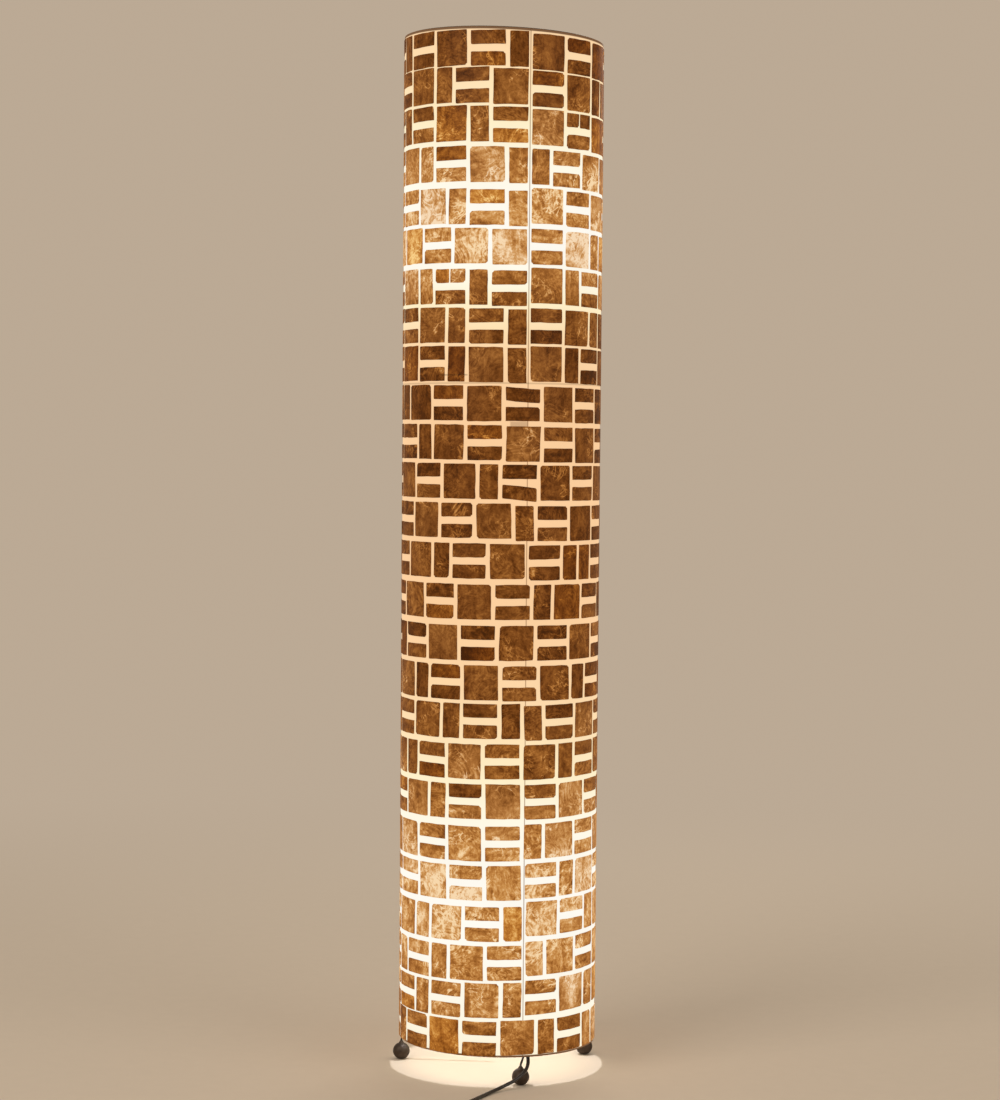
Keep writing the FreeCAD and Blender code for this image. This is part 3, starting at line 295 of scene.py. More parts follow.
def dark_lines(shader, angle, spot):
    """The sheet's seam, its trimmed rims and a darker brown patch beside the seam below the joint, as the photograph
    shows them.
    """
    seam = band(shader, shader.math("SUBTRACT", angle, SEAM), SEAM_HALF, SEAM_DEPTH, soft=0.5)
    # A darker brown patch beside the seam, below the joint.
    lines = shader.math("MULTIPLY", seam, patch(shader, angle, spot["Z"], *DARK_PATCH))
    for level, slant, width in RIMS:
        lean = shader.math("MULTIPLY", spot["X"], math.tan(math.radians(slant)))
        rim = shader.math("SUBTRACT", shader.math("ADD", spot["Z"], lean), level)
        lines = shader.math("MULTIPLY", lines, band(shader, rim, width, 1.0, soft=0.3))
    return lines


print(f"a rim's dark line is at most {max(rim[2] for rim in RIMS) * 1000:.1f} mm wide")

# %% [markdown]
# ## Resin sheet
# The tube is a thin sheet of milky resin. Between the chips it shows as a net of pale joints: peach where the tube
# is dim, cream nearer the bulbs, almost white beside them. One glow colour of changing strength would only get
# brighter, so a colour ramp over the glow gives that change. A slow noise makes it slightly uneven, and the sheet's
# own colour stays dark, because room light hardly shows on it.

# %% The resin sheet's material
# The glow at each colour; the glow is raised to a power first, so that the pale colours reach far from the bulbs.
SHEET_COLOURS = (
    (0.0, (0.930, 0.590, 0.320)),
    (0.25, (0.960, 0.720, 0.430)),
    (0.50, (0.970, 0.850, 0.570)),
    (0.75, (0.970, 0.930, 0.780)),
    (1.0, (0.960, 0.945, 0.880)),
)
GLOW_POWER = 0.6
SHEET_UNLIT = (0.10, 0.075, 0.045)
SHEET_BROWN = (0.12, 0.045, 0.015)
SHEET_DIMMEST, SHEET_UNEVEN = 0.90, 0.12


def resin_sheet():
    shader = Shader(bpy.data.materials.new("resin_sheet"))
    glow = shader.math("POWER", shader.math("MINIMUM", bulb_glow(shader), 1.0), GLOW_POWER)
    angle, spot = tube_place(shader)
    colour = shader.ramp(glow, *SHEET_COLOURS)
    brown = shader.math("SUBTRACT", 1.0, dark_lines(shader, angle, spot))
    strength = shader.math("MULTIPLY_ADD", shader.noise(9.0, 4.0, 0.4), SHEET_UNEVEN, SHEET_DIMMEST)
    return shader.surface(
        Base_Color=SHEET_UNLIT,
        Roughness=0.6,
        Specular_IOR_Level=0.2,
        Emission_Color=shader.mix(brown, colour, SHEET_BROWN),
        Emission_Strength=shader.math("MULTIPLY", strength, frame_shadow(shader, angle, spot["Z"])),
        Normal=shader.bump(shader.noise(120.0), 0.0004, 0.3),
    )


SHEET = resin_sheet()

# %% [markdown]
# ## Shell chips: the material
# Each chip is a thin plate of capiz shell, lit from behind: orange-brown, cloudy and streaky, with growth lines,
# fine mottling and a few pale cracks. A picture of shell would repeat on 600 chips, and noises in the lamp's own
# space never do. Every chip differs, and some are greyer or more amber. The mesh below therefore carries four
# numbers in a colour attribute: the distance from the edge, a tone, a seed that moves the patterns, and whether the
# chip lies flat or stands, which turns its streaks. The noises add up to a brightness, and one ramp turns it into
# colour, so that a brighter spot is also a paler one, as in a real shell.

# %% The shell's patterns
# Each noise: scale, detail, distortion and roughness. The first four also say how strongly they lighten and darken.
CLOUD, CLOUD_WEIGHT = (13.0, 3.0, 0.6, 0.50), 0.35
SWIRL, SWIRL_WEIGHT = (26.0, 6.0, 2.4, 0.60), 0.52
FLECK, FLECK_WEIGHT = (190.0, 4.0, 1.2, 0.72), 0.42
STREAK, STREAK_WEIGHT = (64.0, 5.0, 0.9, 0.60), 0.42
STREAKS_UPRIGHT, STREAKS_LYING = (1.0, 1.0, 0.20), (0.30, 0.30, 1.3)
# Growth lines: how many a noise gives, and patches where they are fainter and stronger.
GROWTH, GROWTH_LINES = (20.0, 3.0, 2.2, 0.58), 7.0
GROWTH_PATCHES, FAINT_LINES, STRONG_LINES = (13.0, 2.0, 0.3, 0.50), 0.10, 0.34
# Cracks and their twigs: half widths at full light and at none, and their height. They show only in some patches.
CRACKS, CRACK_LINE = (15.0, 3.0, 1.1, 0.52), (0.002, 0.011, 1.0)
TWIGS, TWIG_LINE = (34.0, 5.0, 1.4, 0.62), (0.004, 0.030, 0.8)
BROKEN_PATCHES = (24.0, 2.0, 0.5, 0.50)
print(f"growth lines: {GROWTH_LINES:.0f} to a swing of their noise, strength {FAINT_LINES} to {STRONG_LINES}")


# %% Relief and cracks of the shell
def vein(shader, noise_value, thin, wide, height):
    """Thin lines where a noise passes its middle value."""
    ridge = shader.math("ABSOLUTE", shader.math("SUBTRACT", noise_value, 0.5))
    return shader.remap(ridge, thin, wide, height, 0.0)


def shell_cracks(shader, spot):
    """1 on a crack, 0 beside it."""
    cracks = vein(shader, shader.noise(*CRACKS, place=spot), *CRACK_LINE)
    twigs = vein(shader, shader.noise(*TWIGS, place=spot), *TWIG_LINE)
    broken = shader.remap(shader.noise(*BROKEN_PATCHES, place=spot), 0.54, 0.62)
    return shader.math("MULTIPLY", shader.math("MAXIMUM", cracks, twigs), broken)


def growth_lines(shader, spot):
    """Fine parallel lines that wander, stronger in some patches."""
    waves = shader.math("MULTIPLY", shader.noise(*GROWTH, place=spot), GROWTH_LINES)
    lines = shader.math("SUBTRACT", shader.math("PINGPONG", waves, 0.5), 0.25)
    patches = shader.remap(shader.noise(*GROWTH_PATCHES, place=spot), 0.40, 0.60, FAINT_LINES, STRONG_LINES)
    return lines, patches


def shell_relief(shader, cloud, swirl, spot, along):
    """Lighter and darker places of a chip, about 0."""
    relief = shader.math("MULTIPLY", shader.math("SUBTRACT", cloud, 0.5), CLOUD_WEIGHT)
    fleck = shader.noise(*FLECK, place=spot)
    streak = shader.noise(*STREAK, place=along)
    for value, weight in ((swirl, SWIRL_WEIGHT), (fleck, FLECK_WEIGHT), (streak, STREAK_WEIGHT)):
        relief = shader.math("MULTIPLY_ADD", shader.math("SUBTRACT", value, 0.5), weight, relief)
    lines, patches = growth_lines(shader, spot)
    return shader.math("MULTIPLY_ADD", lines, patches, relief)


print(f"weights: cloud {CLOUD_WEIGHT}, swirl {SWIRL_WEIGHT}, flecks {FLECK_WEIGHT}, streaks {STREAK_WEIGHT}")

# %% The shell's colours, from dark to pale
SHELL_COLOURS = (
    (0.28, (0.058, 0.0150, 0.0010)),
    (0.38, (0.114, 0.0300, 0.0025)),
    (0.50, (0.212, 0.0655, 0.0095)),
    (0.60, (0.317, 0.1110, 0.0185)),
    (0.70, (0.451, 0.1740, 0.0360)),
    (0.80, (0.610, 0.2820, 0.0740)),
    (0.90, (0.783, 0.4550, 0.1900)),
    (1.0, (0.960, 0.700, 0.4000)),
)
# How far each thing moves the brightness: the chip's tone, the bulbs, a crack, and the darker last few millimetres at
# the edge.
DARKEST, TONE_LIGHT, GLOW_LIGHT, CRACK_LIGHT, EDGE_LIGHT = 0.375, 0.17, 0.385, 0.29, 0.035
# Relief far from the bulbs, and how much stronger it is beside them.
RELIEF_FAR, RELIEF_NEAR = 0.85, 0.45
# Pale chips are greyer, and one in fourteen is amber: factors for red, green and blue.
GREY, GREY_FROM, GREY_SHARE = (0.95, 1.07, 1.60), 0.45, 0.60
AMBER, AMBER_SEEDS = (1.0, 0.90, 0.60), 0.93
SEED_SHIFT = 7.0


def shell_level(shader, edge, tone, relief, cracks):
    """How bright each spot of a chip is."""
    glow = bulb_glow(shader)
    relief = shader.math("MULTIPLY", relief, shader.math("MULTIPLY_ADD", glow, RELIEF_NEAR, RELIEF_FAR))
    level = shader.math("MULTIPLY_ADD", tone, TONE_LIGHT, DARKEST)
    level = shader.math("MULTIPLY_ADD", glow, GLOW_LIGHT, level)
    level = shader.math("ADD", level, relief)
    level = shader.math("MULTIPLY_ADD", cracks, CRACK_LIGHT, level)
    return shader.math("MULTIPLY_ADD", edge, EDGE_LIGHT, shader.math("SUBTRACT", level, EDGE_LIGHT))


def shell_colour(shader, level, tone, seed):
    colour = shader.ramp(level, *SHELL_COLOURS)
    pearly = shader.math("MULTIPLY", shader.math("SUBTRACT", tone, GREY_FROM, clamp=True), GREY_SHARE)
    colour = shader.mix(pearly, colour, shader.mix(1.0, colour, GREY, "MULTIPLY"))
    amber = shader.mix(1.0, colour, AMBER, "MULTIPLY")
    return shader.mix(shader.math("GREATER_THAN", seed, AMBER_SEEDS), colour, amber)


print(f"shell: {len(SHELL_COLOURS)} colours, from {SHELL_COLOURS[0][1]} to {SHELL_COLOURS[-1][1]}")


# %% The shell's material
def shell_chip():
    """Capiz shell, lit from behind."""
    shader = Shader(bpy.data.materials.new("shell_chip"))
    marks = shader.add("ShaderNodeAttribute", attribute_name="chip")
    edge, tone, seed = shader.add("ShaderNodeSeparateColor", {0: marks.outputs["Color"]}).outputs
    shift = shader.add("ShaderNodeCombineXYZ", {0: seed, 1: tone, 2: seed}).outputs[0]
    spot = shader.vector("ADD", shader.place, shader.scaled(shift, SEED_SHIFT))
    along = shader.vector("MULTIPLY", spot, shader.mix(marks.outputs["Alpha"], STREAKS_UPRIGHT, STREAKS_LYING))
    cloud = shader.noise(*CLOUD, place=spot)
    swirl = shader.noise(*SWIRL, place=spot)
    relief = shell_relief(shader, cloud, swirl, spot, along)
    level = shell_level(shader, edge, tone, relief, shell_cracks(shader, spot))
    colour = shell_colour(shader, level, tone, seed)
    angle, place = tube_place(shader)
    return shader.surface(
        Base_Color=shader.scaled(colour, 0.09),
        Roughness=0.5,
        Specular_IOR_Level=0.08,
        Emission_Color=colour,
        Emission_Strength=shader.math("MULTIPLY", frame_shadow(shader, angle, place["Z"]), 0.92),
        Normal=shader.bump(shader.math("ADD", swirl, cloud), 0.0006, 0.3),
    )


CHIP = shell_chip()


# %% [markdown]
# ## Metals, plastics and glass
# The wires are enamelled black, the ball feet are rough cast iron, the holders and the switch are black plastic.
# None of them is perfectly even: one recipe varies the colour, the gloss and the relief by the same noise, and each
# finish sets how much.

# %% Plain finishes
GLOSS_SWING = 0.2


def plain(name, colour, roughness, metallic=0.0, grain=60.0, spread=0.18, bump=0.0002, glow=0.0):
    """A simple surface with a little unevenness in its colour, gloss and relief."""
    shader = Shader(bpy.data.materials.new(name))
    cloud = shader.noise(grain, 4.0)
    inputs = {"Emission_Color": colour, "Emission_Strength": glow} if glow else {}
    return shader.surface(
        Base_Color=shader.scaled(colour, shader.math("MULTIPLY_ADD", cloud, spread * 2, 1.0 - spread)),
        Metallic=metallic,
        Roughness=shader.math("MULTIPLY_ADD", cloud, GLOSS_SWING, roughness - GLOSS_SWING / 2),
        Normal=shader.bump(cloud, bump),
        **inputs,
    )


BLACK_WIRE = plain("black_wire", (0.022, 0.017, 0.013), 0.42, 0.2)
BALL = plain("black_ball", (0.060, 0.040, 0.026), 0.52, 0.6, grain=150.0, spread=0.55, bump=0.0014)
STEEL = plain("zinc_steel", (0.55, 0.54, 0.52), 0.35, 1.0)
BLACK_PLASTIC = plain("black_plastic", (0.020, 0.019, 0.018), 0.38)
PORCELAIN = plain("porcelain", (0.80, 0.79, 0.75), 0.22, spread=0.04)
BRASS = plain("brass", (0.72, 0.48, 0.18), 0.30, 1.0)
CAP_METAL = plain("cap_metal", (0.74, 0.73, 0.70), 0.28, 1.0)
BLACK_GLASS = plain("black_glass", (0.012, 0.012, 0.014), 0.15)
LIT_GLASS = plain("lit_glass", (1.0, 0.93, 0.78), 0.3, spread=0.02, glow=1.6)
CORD = plain("cord_sheath", (0.018, 0.013, 0.010), 0.24, grain=300.0)
CASE = plain("switch_case", (0.020, 0.019, 0.018), 0.40, grain=400.0, bump=0.0003)
NICKEL = plain("nickel", (0.70, 0.68, 0.64), 0.20, 1.0)
# The backing tape glows by itself: painted light, standing for the bulbs' light that reaches it inside the tube.
TAPE = plain("backing_tape", (0.36, 0.17, 0.065), 0.7, grain=200.0, glow=0.75)

print(f"materials: {len(bpy.data.materials)}")

# %% [markdown]
# ## The cord
# One flex of 1.80 m runs from the strain relief under the shade to the plug, through the inline switch. It could be
# a chain of cylinders, but a curve with a round bevel bends smoothly and keeps its thickness. The points follow the
# photograph down beside the front foot and over the floor. What the photograph doesn't show lies in a flat coil just
# outside the view, with sixteen points a turn.

# %% The cord's route
FLOOR = 0.00265
SWITCH_AXIS = 0.0085
ROUTE = [
    (0.03755, -0.11393, 0.05548),
    (0.04146, -0.12034, 0.04887),
    (0.0450, -0.12795, 0.0380),
    (0.0456, -0.13645, 0.0310),
    (0.0430, -0.14745, 0.0248),
    (0.0365, -0.15745, 0.0188),
    (0.0270, -0.16495, 0.0130),
    (0.0155, -0.17145, 0.0082),
    (0.0035, -0.17995, 0.0044),
    (-0.0080, -0.19495, 0.0029),
    (-0.0200, -0.21695, FLOOR),
    (-0.0330, -0.24095, FLOOR),
    (-0.0453, -0.26595, FLOOR),
    (-0.0568, -0.28995, FLOOR),
    (-0.0665, -0.30945, FLOOR + 0.0006),
    (-0.0730, -0.32445, FLOOR + 0.0032),
    (-0.0750, -0.33595, SWITCH_AXIS),
    (-0.0750, -0.34595, SWITCH_AXIS),
    (-0.0750, -0.36500, SWITCH_AXIS),
    (-0.0750, -0.38300, SWITCH_AXIS),
    (-0.0750, -0.40195, SWITCH_AXIS),
    (-0.0750, -0.41295, SWITCH_AXIS),
    (-0.0720, -0.42695, 0.0046),
    (-0.0620, -0.43945, FLOOR),
    (-0.0460, -0.44535, FLOOR),
    (-0.0260, -0.44595, FLOOR),
]
print(f"route to the coil: {len(ROUTE)} points, out at {ROUTE[0]}")

# %% The coil: seven half turns in along the floor, seven out on top
COIL_CENTRE = Vector((-0.0050, -0.40445, 0.0))
COIL_RADIUS = 0.0415
COIL_STEP = 0.002925
COIL_TUCK = 0.0014
HALF_TURNS = 7
POINTS_A_HALF = 8


def coil_points():
    """The coil's control points: in along the floor, up at the middle, out on top."""
    radii = [COIL_RADIUS - COIL_STEP * k for k in range(HALF_TURNS + 1)]
    radii[-1] -= COIL_TUCK
    top = FLOOR + COIL_STEP * 2
    legs = [(a, b, FLOOR, FLOOR) for a, b in zip(radii, radii[1:])]
    legs.append((radii[-1], radii[-1], FLOOR, top))
    radii.reverse()
    legs += [(a, b, top, top) for a, b in zip(radii, radii[1:-1])]
    spread = 1.0 / math.cos(math.pi / POINTS_A_HALF / 2)
    angle = -math.pi / 2
    points = []
    for entry, leave, low, high in legs:
        for k in range(POINTS_A_HALF):
            share = (k + 0.5) / POINTS_A_HALF
            turn = angle + math.pi * share
            radius = (entry + (leave - entry) * share) * spread
            level = low + (high - low) * (0.5 - 0.5 * math.cos(math.pi * share))
            points.append(COIL_CENTRE + Vector((radius * math.cos(turn), radius * math.sin(turn), level)))
        angle += math.pi
    return points


coil = coil_points()
print(f"coil: {len(coil)} points, {2 * math.pi * COIL_RADIUS * 1000:.0f} mm round the widest turn")

# %% The flex as one curve
CORD_RADIUS = 0.0026
tail_y = COIL_CENTRE.y - (COIL_RADIUS - COIL_STEP)
TAIL = [(along_floor, tail_y, SWITCH_AXIS) for along_floor in (0.0100, 0.0270, 0.0430)]
cord_data = bpy.data.curves.new("supply_flex", "CURVE")
cord_data.dimensions = "3D"
cord_data.bevel_depth = CORD_RADIUS
cord_data.bevel_resolution = 5
cord_data.resolution_u = 8
cord_data.use_fill_caps = True
spline = cord_data.splines.new("NURBS")
control = [Vector(point) for point in ROUTE] + coil + [Vector(point) for point in TAIL]
spline.points.add(len(control) - 1)
for point, at in zip(spline.points, control):
    point.co = (*at, 1.0)
spline.order_u = 3
spline.use_endpoint_u = True
supply_flex = bpy.data.objects.new("supply_flex", cord_data)
scene.collection.objects.link(supply_flex)
cord_data.materials.append(CORD)
print(f"cord: {len(control)} points, {CORD_RADIUS * 2000:.1f} mm across")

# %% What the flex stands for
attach(supply_flex, "lamp")
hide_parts("supply_cord", "supply_cord_link", "supply_cord_coil", "supply_cord_tail")
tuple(ROUTE[0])

# %% [markdown]
# ## Shell chips: where they lie
# The same courses as in the CAD, from the top: letters left of the seam, letters right of it, how far the first
# right-hand chip reaches over the seam, and how far the course hangs below its even place left and right of it, in
# millimetres. S is a square, V a narrow upright chip, H two lying strips with a gap between them, and D the same
# with its upper strip in two. A table of letters is easier to read and to compare with the photograph than 600
# coordinates, and the letters of the hidden back follow from the room that is left.

# %% The courses, from the top
COURSES = [
    ("VHSHV", "SHSH", 0, -0.4, 1.2),
    ("HSVHS", "HSVV", 0, -2.6, -2.6),
    ("VHSVH", "SDSH", 0, -4, -4),
    ("SVHSV", "VHSV", 0, -2.4, -2.8),
    ("HSVHV", "SHSH", 0, 3, -3),
    ("SHSS", "HSVV", 0, 2.4, -0.5),
    ("SVDVH", "SVHV", 0, 5.8, -0.6),
    ("HSVHV", "HSVV", 0, 5, 2),
    ("SHVSV", "SVHV", 0, 4.5, 0.8),
    ("VSHS", "HSHV", 32, 4.4, 2.8),
    ("HVSH", "SHSH", 31, 2.9, 3.8),
    ("SHSV", "HSHS", 36, 1.5, 1.8),
    ("HSHS", "VHSH", 17, 0.2, 3.2),
    ("HSVHS", "HVVH", 0, 1, 2.8),
    ("HSHS", "HVSHV", 45, 2.7, 2.5),
    ("VHSH", "SHSH", 39, 4.8, 4.3),
    ("SVHS", "HSVH", 34, 4.4, 5.7),
    ("HSVHV", "VHSH", 2, 2.6, 6),
    ("VVHSH", "SVHS", 2.5, 4, 5.8),
    ("HSVHS", "HSHV", 1, 4.8, 6.6),
    ("VSHSH", "VSHS", 1, 9, 6.8),
    ("HSHS", "HVSH", -1, 8.9, 7.4),
    ("HSVSHV", "SHV", 0, 11.8, 5.7),
    ("VHVSH", "VSHV", 0, 11.6, 6.8),
    ("HVHSV", "HSV", 0, 8.8, 7),
    ("VHSH", "SVHV", 33, 8.6, 6),
]
BACK_PATTERN = "SHVHS"
# Strips glued askew: (course, place in it, upper or lower strip) -> (degrees, mm lower).
ASKEW = {(11, 0, "lower"): (-5.5, 0.0), (9, 0, "upper"): (-4.2, 3.2)}
print(f"{len(COURSES)} courses, {sum(len(left + right) for left, right, *_ in COURSES)} letters in front")

# %% Sizes of the chips and of the tube, in millimetres
CHIP_FACE = 145.0  # the radius of the chips' outer face
CHIP_THICKNESS = 0.8
SQUARE = 50.0
NARROW = 27.0
STRIP = 20.0
CHIP_JOINT = 6.0
SPLIT = CHIP_JOINT / 3
UPPER_COURSES = 9
RIM_MARGIN = 5.0
SHADE_FOOT = 41.0
JOINT_LEVEL = 1001.0
SHADE_TOP = 1497.0
# How many degrees the courses lean, from the second at the top to the last but one at the foot.
LEAN_TOP, LEAN_FOOT = 2.4, -1.4
GIRTH = 2 * math.pi * CHIP_FACE
SEAM_PLACE = SEAM / 360 * GIRTH
print(f"girth {GIRTH:.0f} mm, the seam {SEAM_PLACE:.1f} mm right of the front")


# %% From letters to places
def chip_width(letter):
    return NARROW if letter == "V" else SQUARE


def back_letters(room):
    """Letters for the back that leave the joints nearest to their usual width: wide ones, and up to three narrow."""
    wide, narrow = SQUARE + CHIP_JOINT, NARROW + CHIP_JOINT
    choices = [(round((room - slim * narrow) / wide), slim) for slim in range(4)]
    broad, slim = min(choices, key=lambda pick: abs(room - pick[0] * wide - pick[1] * narrow))
    letters = [BACK_PATTERN[k % len(BACK_PATTERN)].replace("V", "S") for k in range(broad)]
    for k in range(slim):
        letters.insert((k + 1) * (broad + 1) // (slim + 1), "V")
    return "".join(letters)


def course_layout(course):
    """Each letter of a course with its start and width along the girth, from the seam to the right."""
    left, right, reach = course[:3]
    seen = sum(chip_width(letter) + CHIP_JOINT for letter in left + right)
    letters = right + back_letters(GIRTH - seen) + left
    widths = [chip_width(letter) for letter in letters]
    gap = (GIRTH - sum(widths)) / len(widths)
    place = SEAM_PLACE + (gap / 2 if reach == 0 else -reach)
    for letter, width in zip(letters, widths):
        yield letter, place, width
        place += width + gap


def course_tilt(index):
    """Degrees by which a course leans. The first and the last follow their rims."""
    if index == 0:
        return TOP_SLANT
    if index == len(COURSES) - 1:
        return FOOT_SLANT
    share = (index - 1) / (len(COURSES) - 3)
    return LEAN_TOP * (1 - share) + LEAN_FOOT * share


def course_level(index):
    """The even height of a course's lower edge. The sheet's two lengths are divided each for itself."""
    if index < UPPER_COURSES:
        pitch = (SHADE_TOP - JOINT_LEVEL - RIM_MARGIN) / UPPER_COURSES
        return SHADE_TOP - RIM_MARGIN - index * pitch - SQUARE
    lower = len(COURSES) - UPPER_COURSES
    pitch = (JOINT_LEVEL - SHADE_FOOT - RIM_MARGIN / 2) / lower
    return JOINT_LEVEL - (index - UPPER_COURSES) * pitch - SQUARE


print("the top course, from the seam to the right:", " ".join(letter for letter, *_ in course_layout(COURSES[0])))

# %% From places to pieces
Piece = namedtuple("Piece", "place width low height tilt")


def course_pieces(index):
    """Every shell piece of a course, in millimetres and degrees."""
    slope = math.tan(math.radians(course_tilt(index)))
    left_drop, right_drop = COURSES[index][3:]
    for number, (letter, place, width) in enumerate(course_layout(COURSES[index])):
        middle = place + width / 2
        share = min(max(1 - (middle - SEAM_PLACE) / GIRTH, 0.0), 1.0)
        low = course_level(index) - CHIP_FACE * math.sin(middle / CHIP_FACE) * slope
        low -= right_drop * share + left_drop * (1 - share)
        if letter in "SV":
            yield Piece(place, width, low, SQUARE, 0.0)
            continue
        tilt, drop = ASKEW.get((index, number, "lower"), (0.0, 0.0))
        yield Piece(place, width, low - drop, STRIP, tilt)
        tilt, drop = ASKEW.get((index, number, "upper"), (0.0, 0.0))
        high = low + SQUARE - STRIP - drop
        if letter == "D":
            half = (width - SPLIT) / 2
            yield Piece(place, half, high, STRIP, tilt)
            yield Piece(place + width - half, half, high, STRIP, tilt)
        else:
            yield Piece(place, width, high, STRIP, tilt)


print(f"{sum(1 for index in range(len(COURSES)) for _ in course_pieces(index))} pieces of shell")


# %% [markdown]
# ## Shell chips: the mesh
# A chip was cut by hand and glued on a round tube. Its mesh starts as a small grid, whose lines lie close together
# at the corners. The border's points are moved a little for the wavy cut, some corners are cut off or rounded, and
# the grid is wrapped round the tube. Then the border is extruded inwards for the chip's thickness, and the back is
# closed in upright strips: one flat back would cut through the curved sheet behind it. Some 50 faces are enough for
# each of the 600 chips.

# %% How uneven the chips are, in millimetres and degrees
SEGMENT = 11.0
CORNER = 3.0
EDGE_FADE = 5.0
# How far the border is pulled in: evenly, by a long wave and by a short one, with the waves' pitches.
PULL, WAVE, RIPPLE = 0.15, 0.55, 0.35
WAVE_PITCH, RIPPLE_PITCH, RIPPLE_SHIFT = 0.13, 0.5, 9.0
# A corner's cut, drawn from these: one in seven is snapped off.
CORNER_CUTS = (0.3, 0.3, 0.3, 0.3, 0.8, 0.8, 3.4)
LEAN_ERROR, RAKE_ERROR = 0.5, 1.6
SEEDS = 40.0
SQUARE_TONES, SLIM_TONES = (0.3, 1.0), (0.0, 0.75)
LYING_FROM = 1.2  # times as wide as high
Looks = namedtuple("Looks", "cuts lean rake seed")


def grid_stops(length):
    """Where a grid's lines cross a side: close at its ends, wide between."""
    inner = max(1, round((length - 2 * CORNER) / SEGMENT))
    return [0.0] + [CORNER + (length - 2 * CORNER) * k / inner for k in range(inner + 1)] + [length]


print("a square's grid lines, in mm:", [round(stop, 1) for stop in grid_stops(SQUARE)])


# %% Where a chip's grid point goes
def chip_point(along, up, piece, looks):
    """A grid point moved for the cut corners, the wavy cut and the chip's small turn; and its edge value."""
    from_side = min(along, piece.width - along)
    from_end = min(up, piece.height - up)
    inwards = Vector((math.copysign(1, piece.width / 2 - along), math.copysign(1, piece.height / 2 - up)))
    corner = (along > piece.width / 2) + 2 * (up > piece.height / 2)
    cut = max(0.0, looks.cuts[corner] - from_side - from_end) / 2
    wave = noise.noise(Vector((along * WAVE_PITCH, up * WAVE_PITCH, looks.seed)))
    ripple = noise.noise(Vector((up * RIPPLE_PITCH + RIPPLE_SHIFT, along * RIPPLE_PITCH, looks.seed)))
    pull = PULL + WAVE * wave + RIPPLE * ripple
    moved_along = along + inwards.x * (cut + (pull if from_side == 0 else 0.0))
    moved_up = up + inwards.y * (cut + (pull if from_end == 0 else 0.0))
    moved_along += (moved_up - piece.height / 2) * looks.rake
    moved_up += (moved_along - piece.width / 2) * looks.lean
    turn = (piece.place + moved_along) / CHIP_FACE
    at = Vector((CHIP_FACE * math.sin(turn), -CHIP_FACE * math.cos(turn), piece.low + moved_up)) * MM
    return at, min(min(from_side, from_end) / EDGE_FADE, 1.0)


SAMPLE = Piece(0.0, SQUARE, 0.0, SQUARE, 0.0)
sample_at, sample_edge = chip_point(0.0, SQUARE / 2, SAMPLE, Looks(CORNER_CUTS[:4], 0.0, 0.0, 0.0))
print(f"the left side's middle moves {sample_at.x / MM:.2f} mm to the right, with an edge value of {sample_edge:.0f}")


# %% One chip
def close_behind(bm, sides, spots, last_column, last_row):
    """Closes a chip's back in upright strips, so that it follows the tube and stays outside the sheet."""
    rim = [item for item in sides if isinstance(item, bmesh.types.BMEdge) and len(item.link_faces) == 1]
    bmesh.ops.edgeloop_fill(bm, edges=rim)
    behind = {spots[front]: edge.other_vert(front) for front in spots for edge in front.link_edges
              if edge.other_vert(front) not in spots}
    for column in range(1, last_column):
        bmesh.ops.connect_verts(bm, verts=[behind[column, 0], behind[column, last_row]])


def add_chip(bm, marks, piece, rng):
    """One chip in the bmesh, with its numbers in the attribute."""
    across, upwards = grid_stops(piece.width), grid_stops(piece.height)
    columns, rows = len(across) - 1, len(upwards) - 1
    grid = bmesh.ops.create_grid(bm, x_segments=columns, y_segments=rows, size=0.5)
    seed = rng.random() * SEEDS
    square = piece.height > STRIP and piece.width > NARROW
    tone = rng.uniform(*(SQUARE_TONES if square else SLIM_TONES))
    lying = 1.0 if piece.width > piece.height * LYING_FROM else 0.0
    cuts = [rng.choice(CORNER_CUTS) for _ in range(4)]
    lean = math.tan(math.radians(piece.tilt + rng.uniform(-LEAN_ERROR, LEAN_ERROR)))
    rake = math.tan(math.radians(rng.uniform(-RAKE_ERROR, RAKE_ERROR)))
    spots = {}
    for vert in grid["verts"]:
        column, row = spots[vert] = round((vert.co.x + 0.5) * columns), round((vert.co.y + 0.5) * rows)
        vert.co, edge = chip_point(across[column], upwards[row], piece, Looks(cuts, lean, rake, seed))
        vert[marks] = (edge, tone, seed / SEEDS, lying)
    faces = dict.fromkeys(face for vert in grid["verts"] for face in vert.link_faces)
    border = [edge for face in faces for edge in face.edges if len(edge.link_faces) == 1]
    sides = bmesh.ops.extrude_edge_only(bm, edges=list(dict.fromkeys(border)))["geom"]
    inward = 1 - CHIP_THICKNESS / CHIP_FACE
    for vert in (item for item in sides if isinstance(item, bmesh.types.BMVert)):
        vert.co.x *= inward
        vert.co.y *= inward
    close_behind(bm, sides, spots, columns, rows)


print(f"the chips' backs stand {CHIP_FACE - CHIP_THICKNESS:.1f} mm from the axis")


# %% All chips, one object for each CAD piece
CHIP_SMOOTH = 35
random_tones = random.Random(26)


def smooth(mesh, angle):
    """Smooth shading, apart from the edges that are sharper than this many degrees."""
    for polygon in mesh.polygons:
        polygon.use_smooth = True
    mesh.set_sharp_from_angle(angle=math.radians(angle))


def chip_group(name, node, indices, rng):
    """The chips of some courses as one object, which replaces the CAD's."""
    bm = bmesh.new()
    marks = bm.verts.layers.float_color.new("chip")
    pieces = [piece for index in indices for piece in course_pieces(index)]
    for piece in pieces:
        add_chip(bm, marks, piece, rng)
    bmesh.ops.recalc_face_normals(bm, faces=bm.faces)
    mesh = bpy.data.meshes.new(name)
    bm.to_mesh(mesh)
    bm.free()
    smooth(mesh, CHIP_SMOOTH)
    mesh.materials.append(CHIP)
    piece = bpy.data.objects.new(name, mesh)
    scene.collection.objects.link(piece)
    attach(piece, "lamp")
    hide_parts(node)
    print(f"{name}: {len(pieces)} chips, {len(mesh.polygons)} faces")


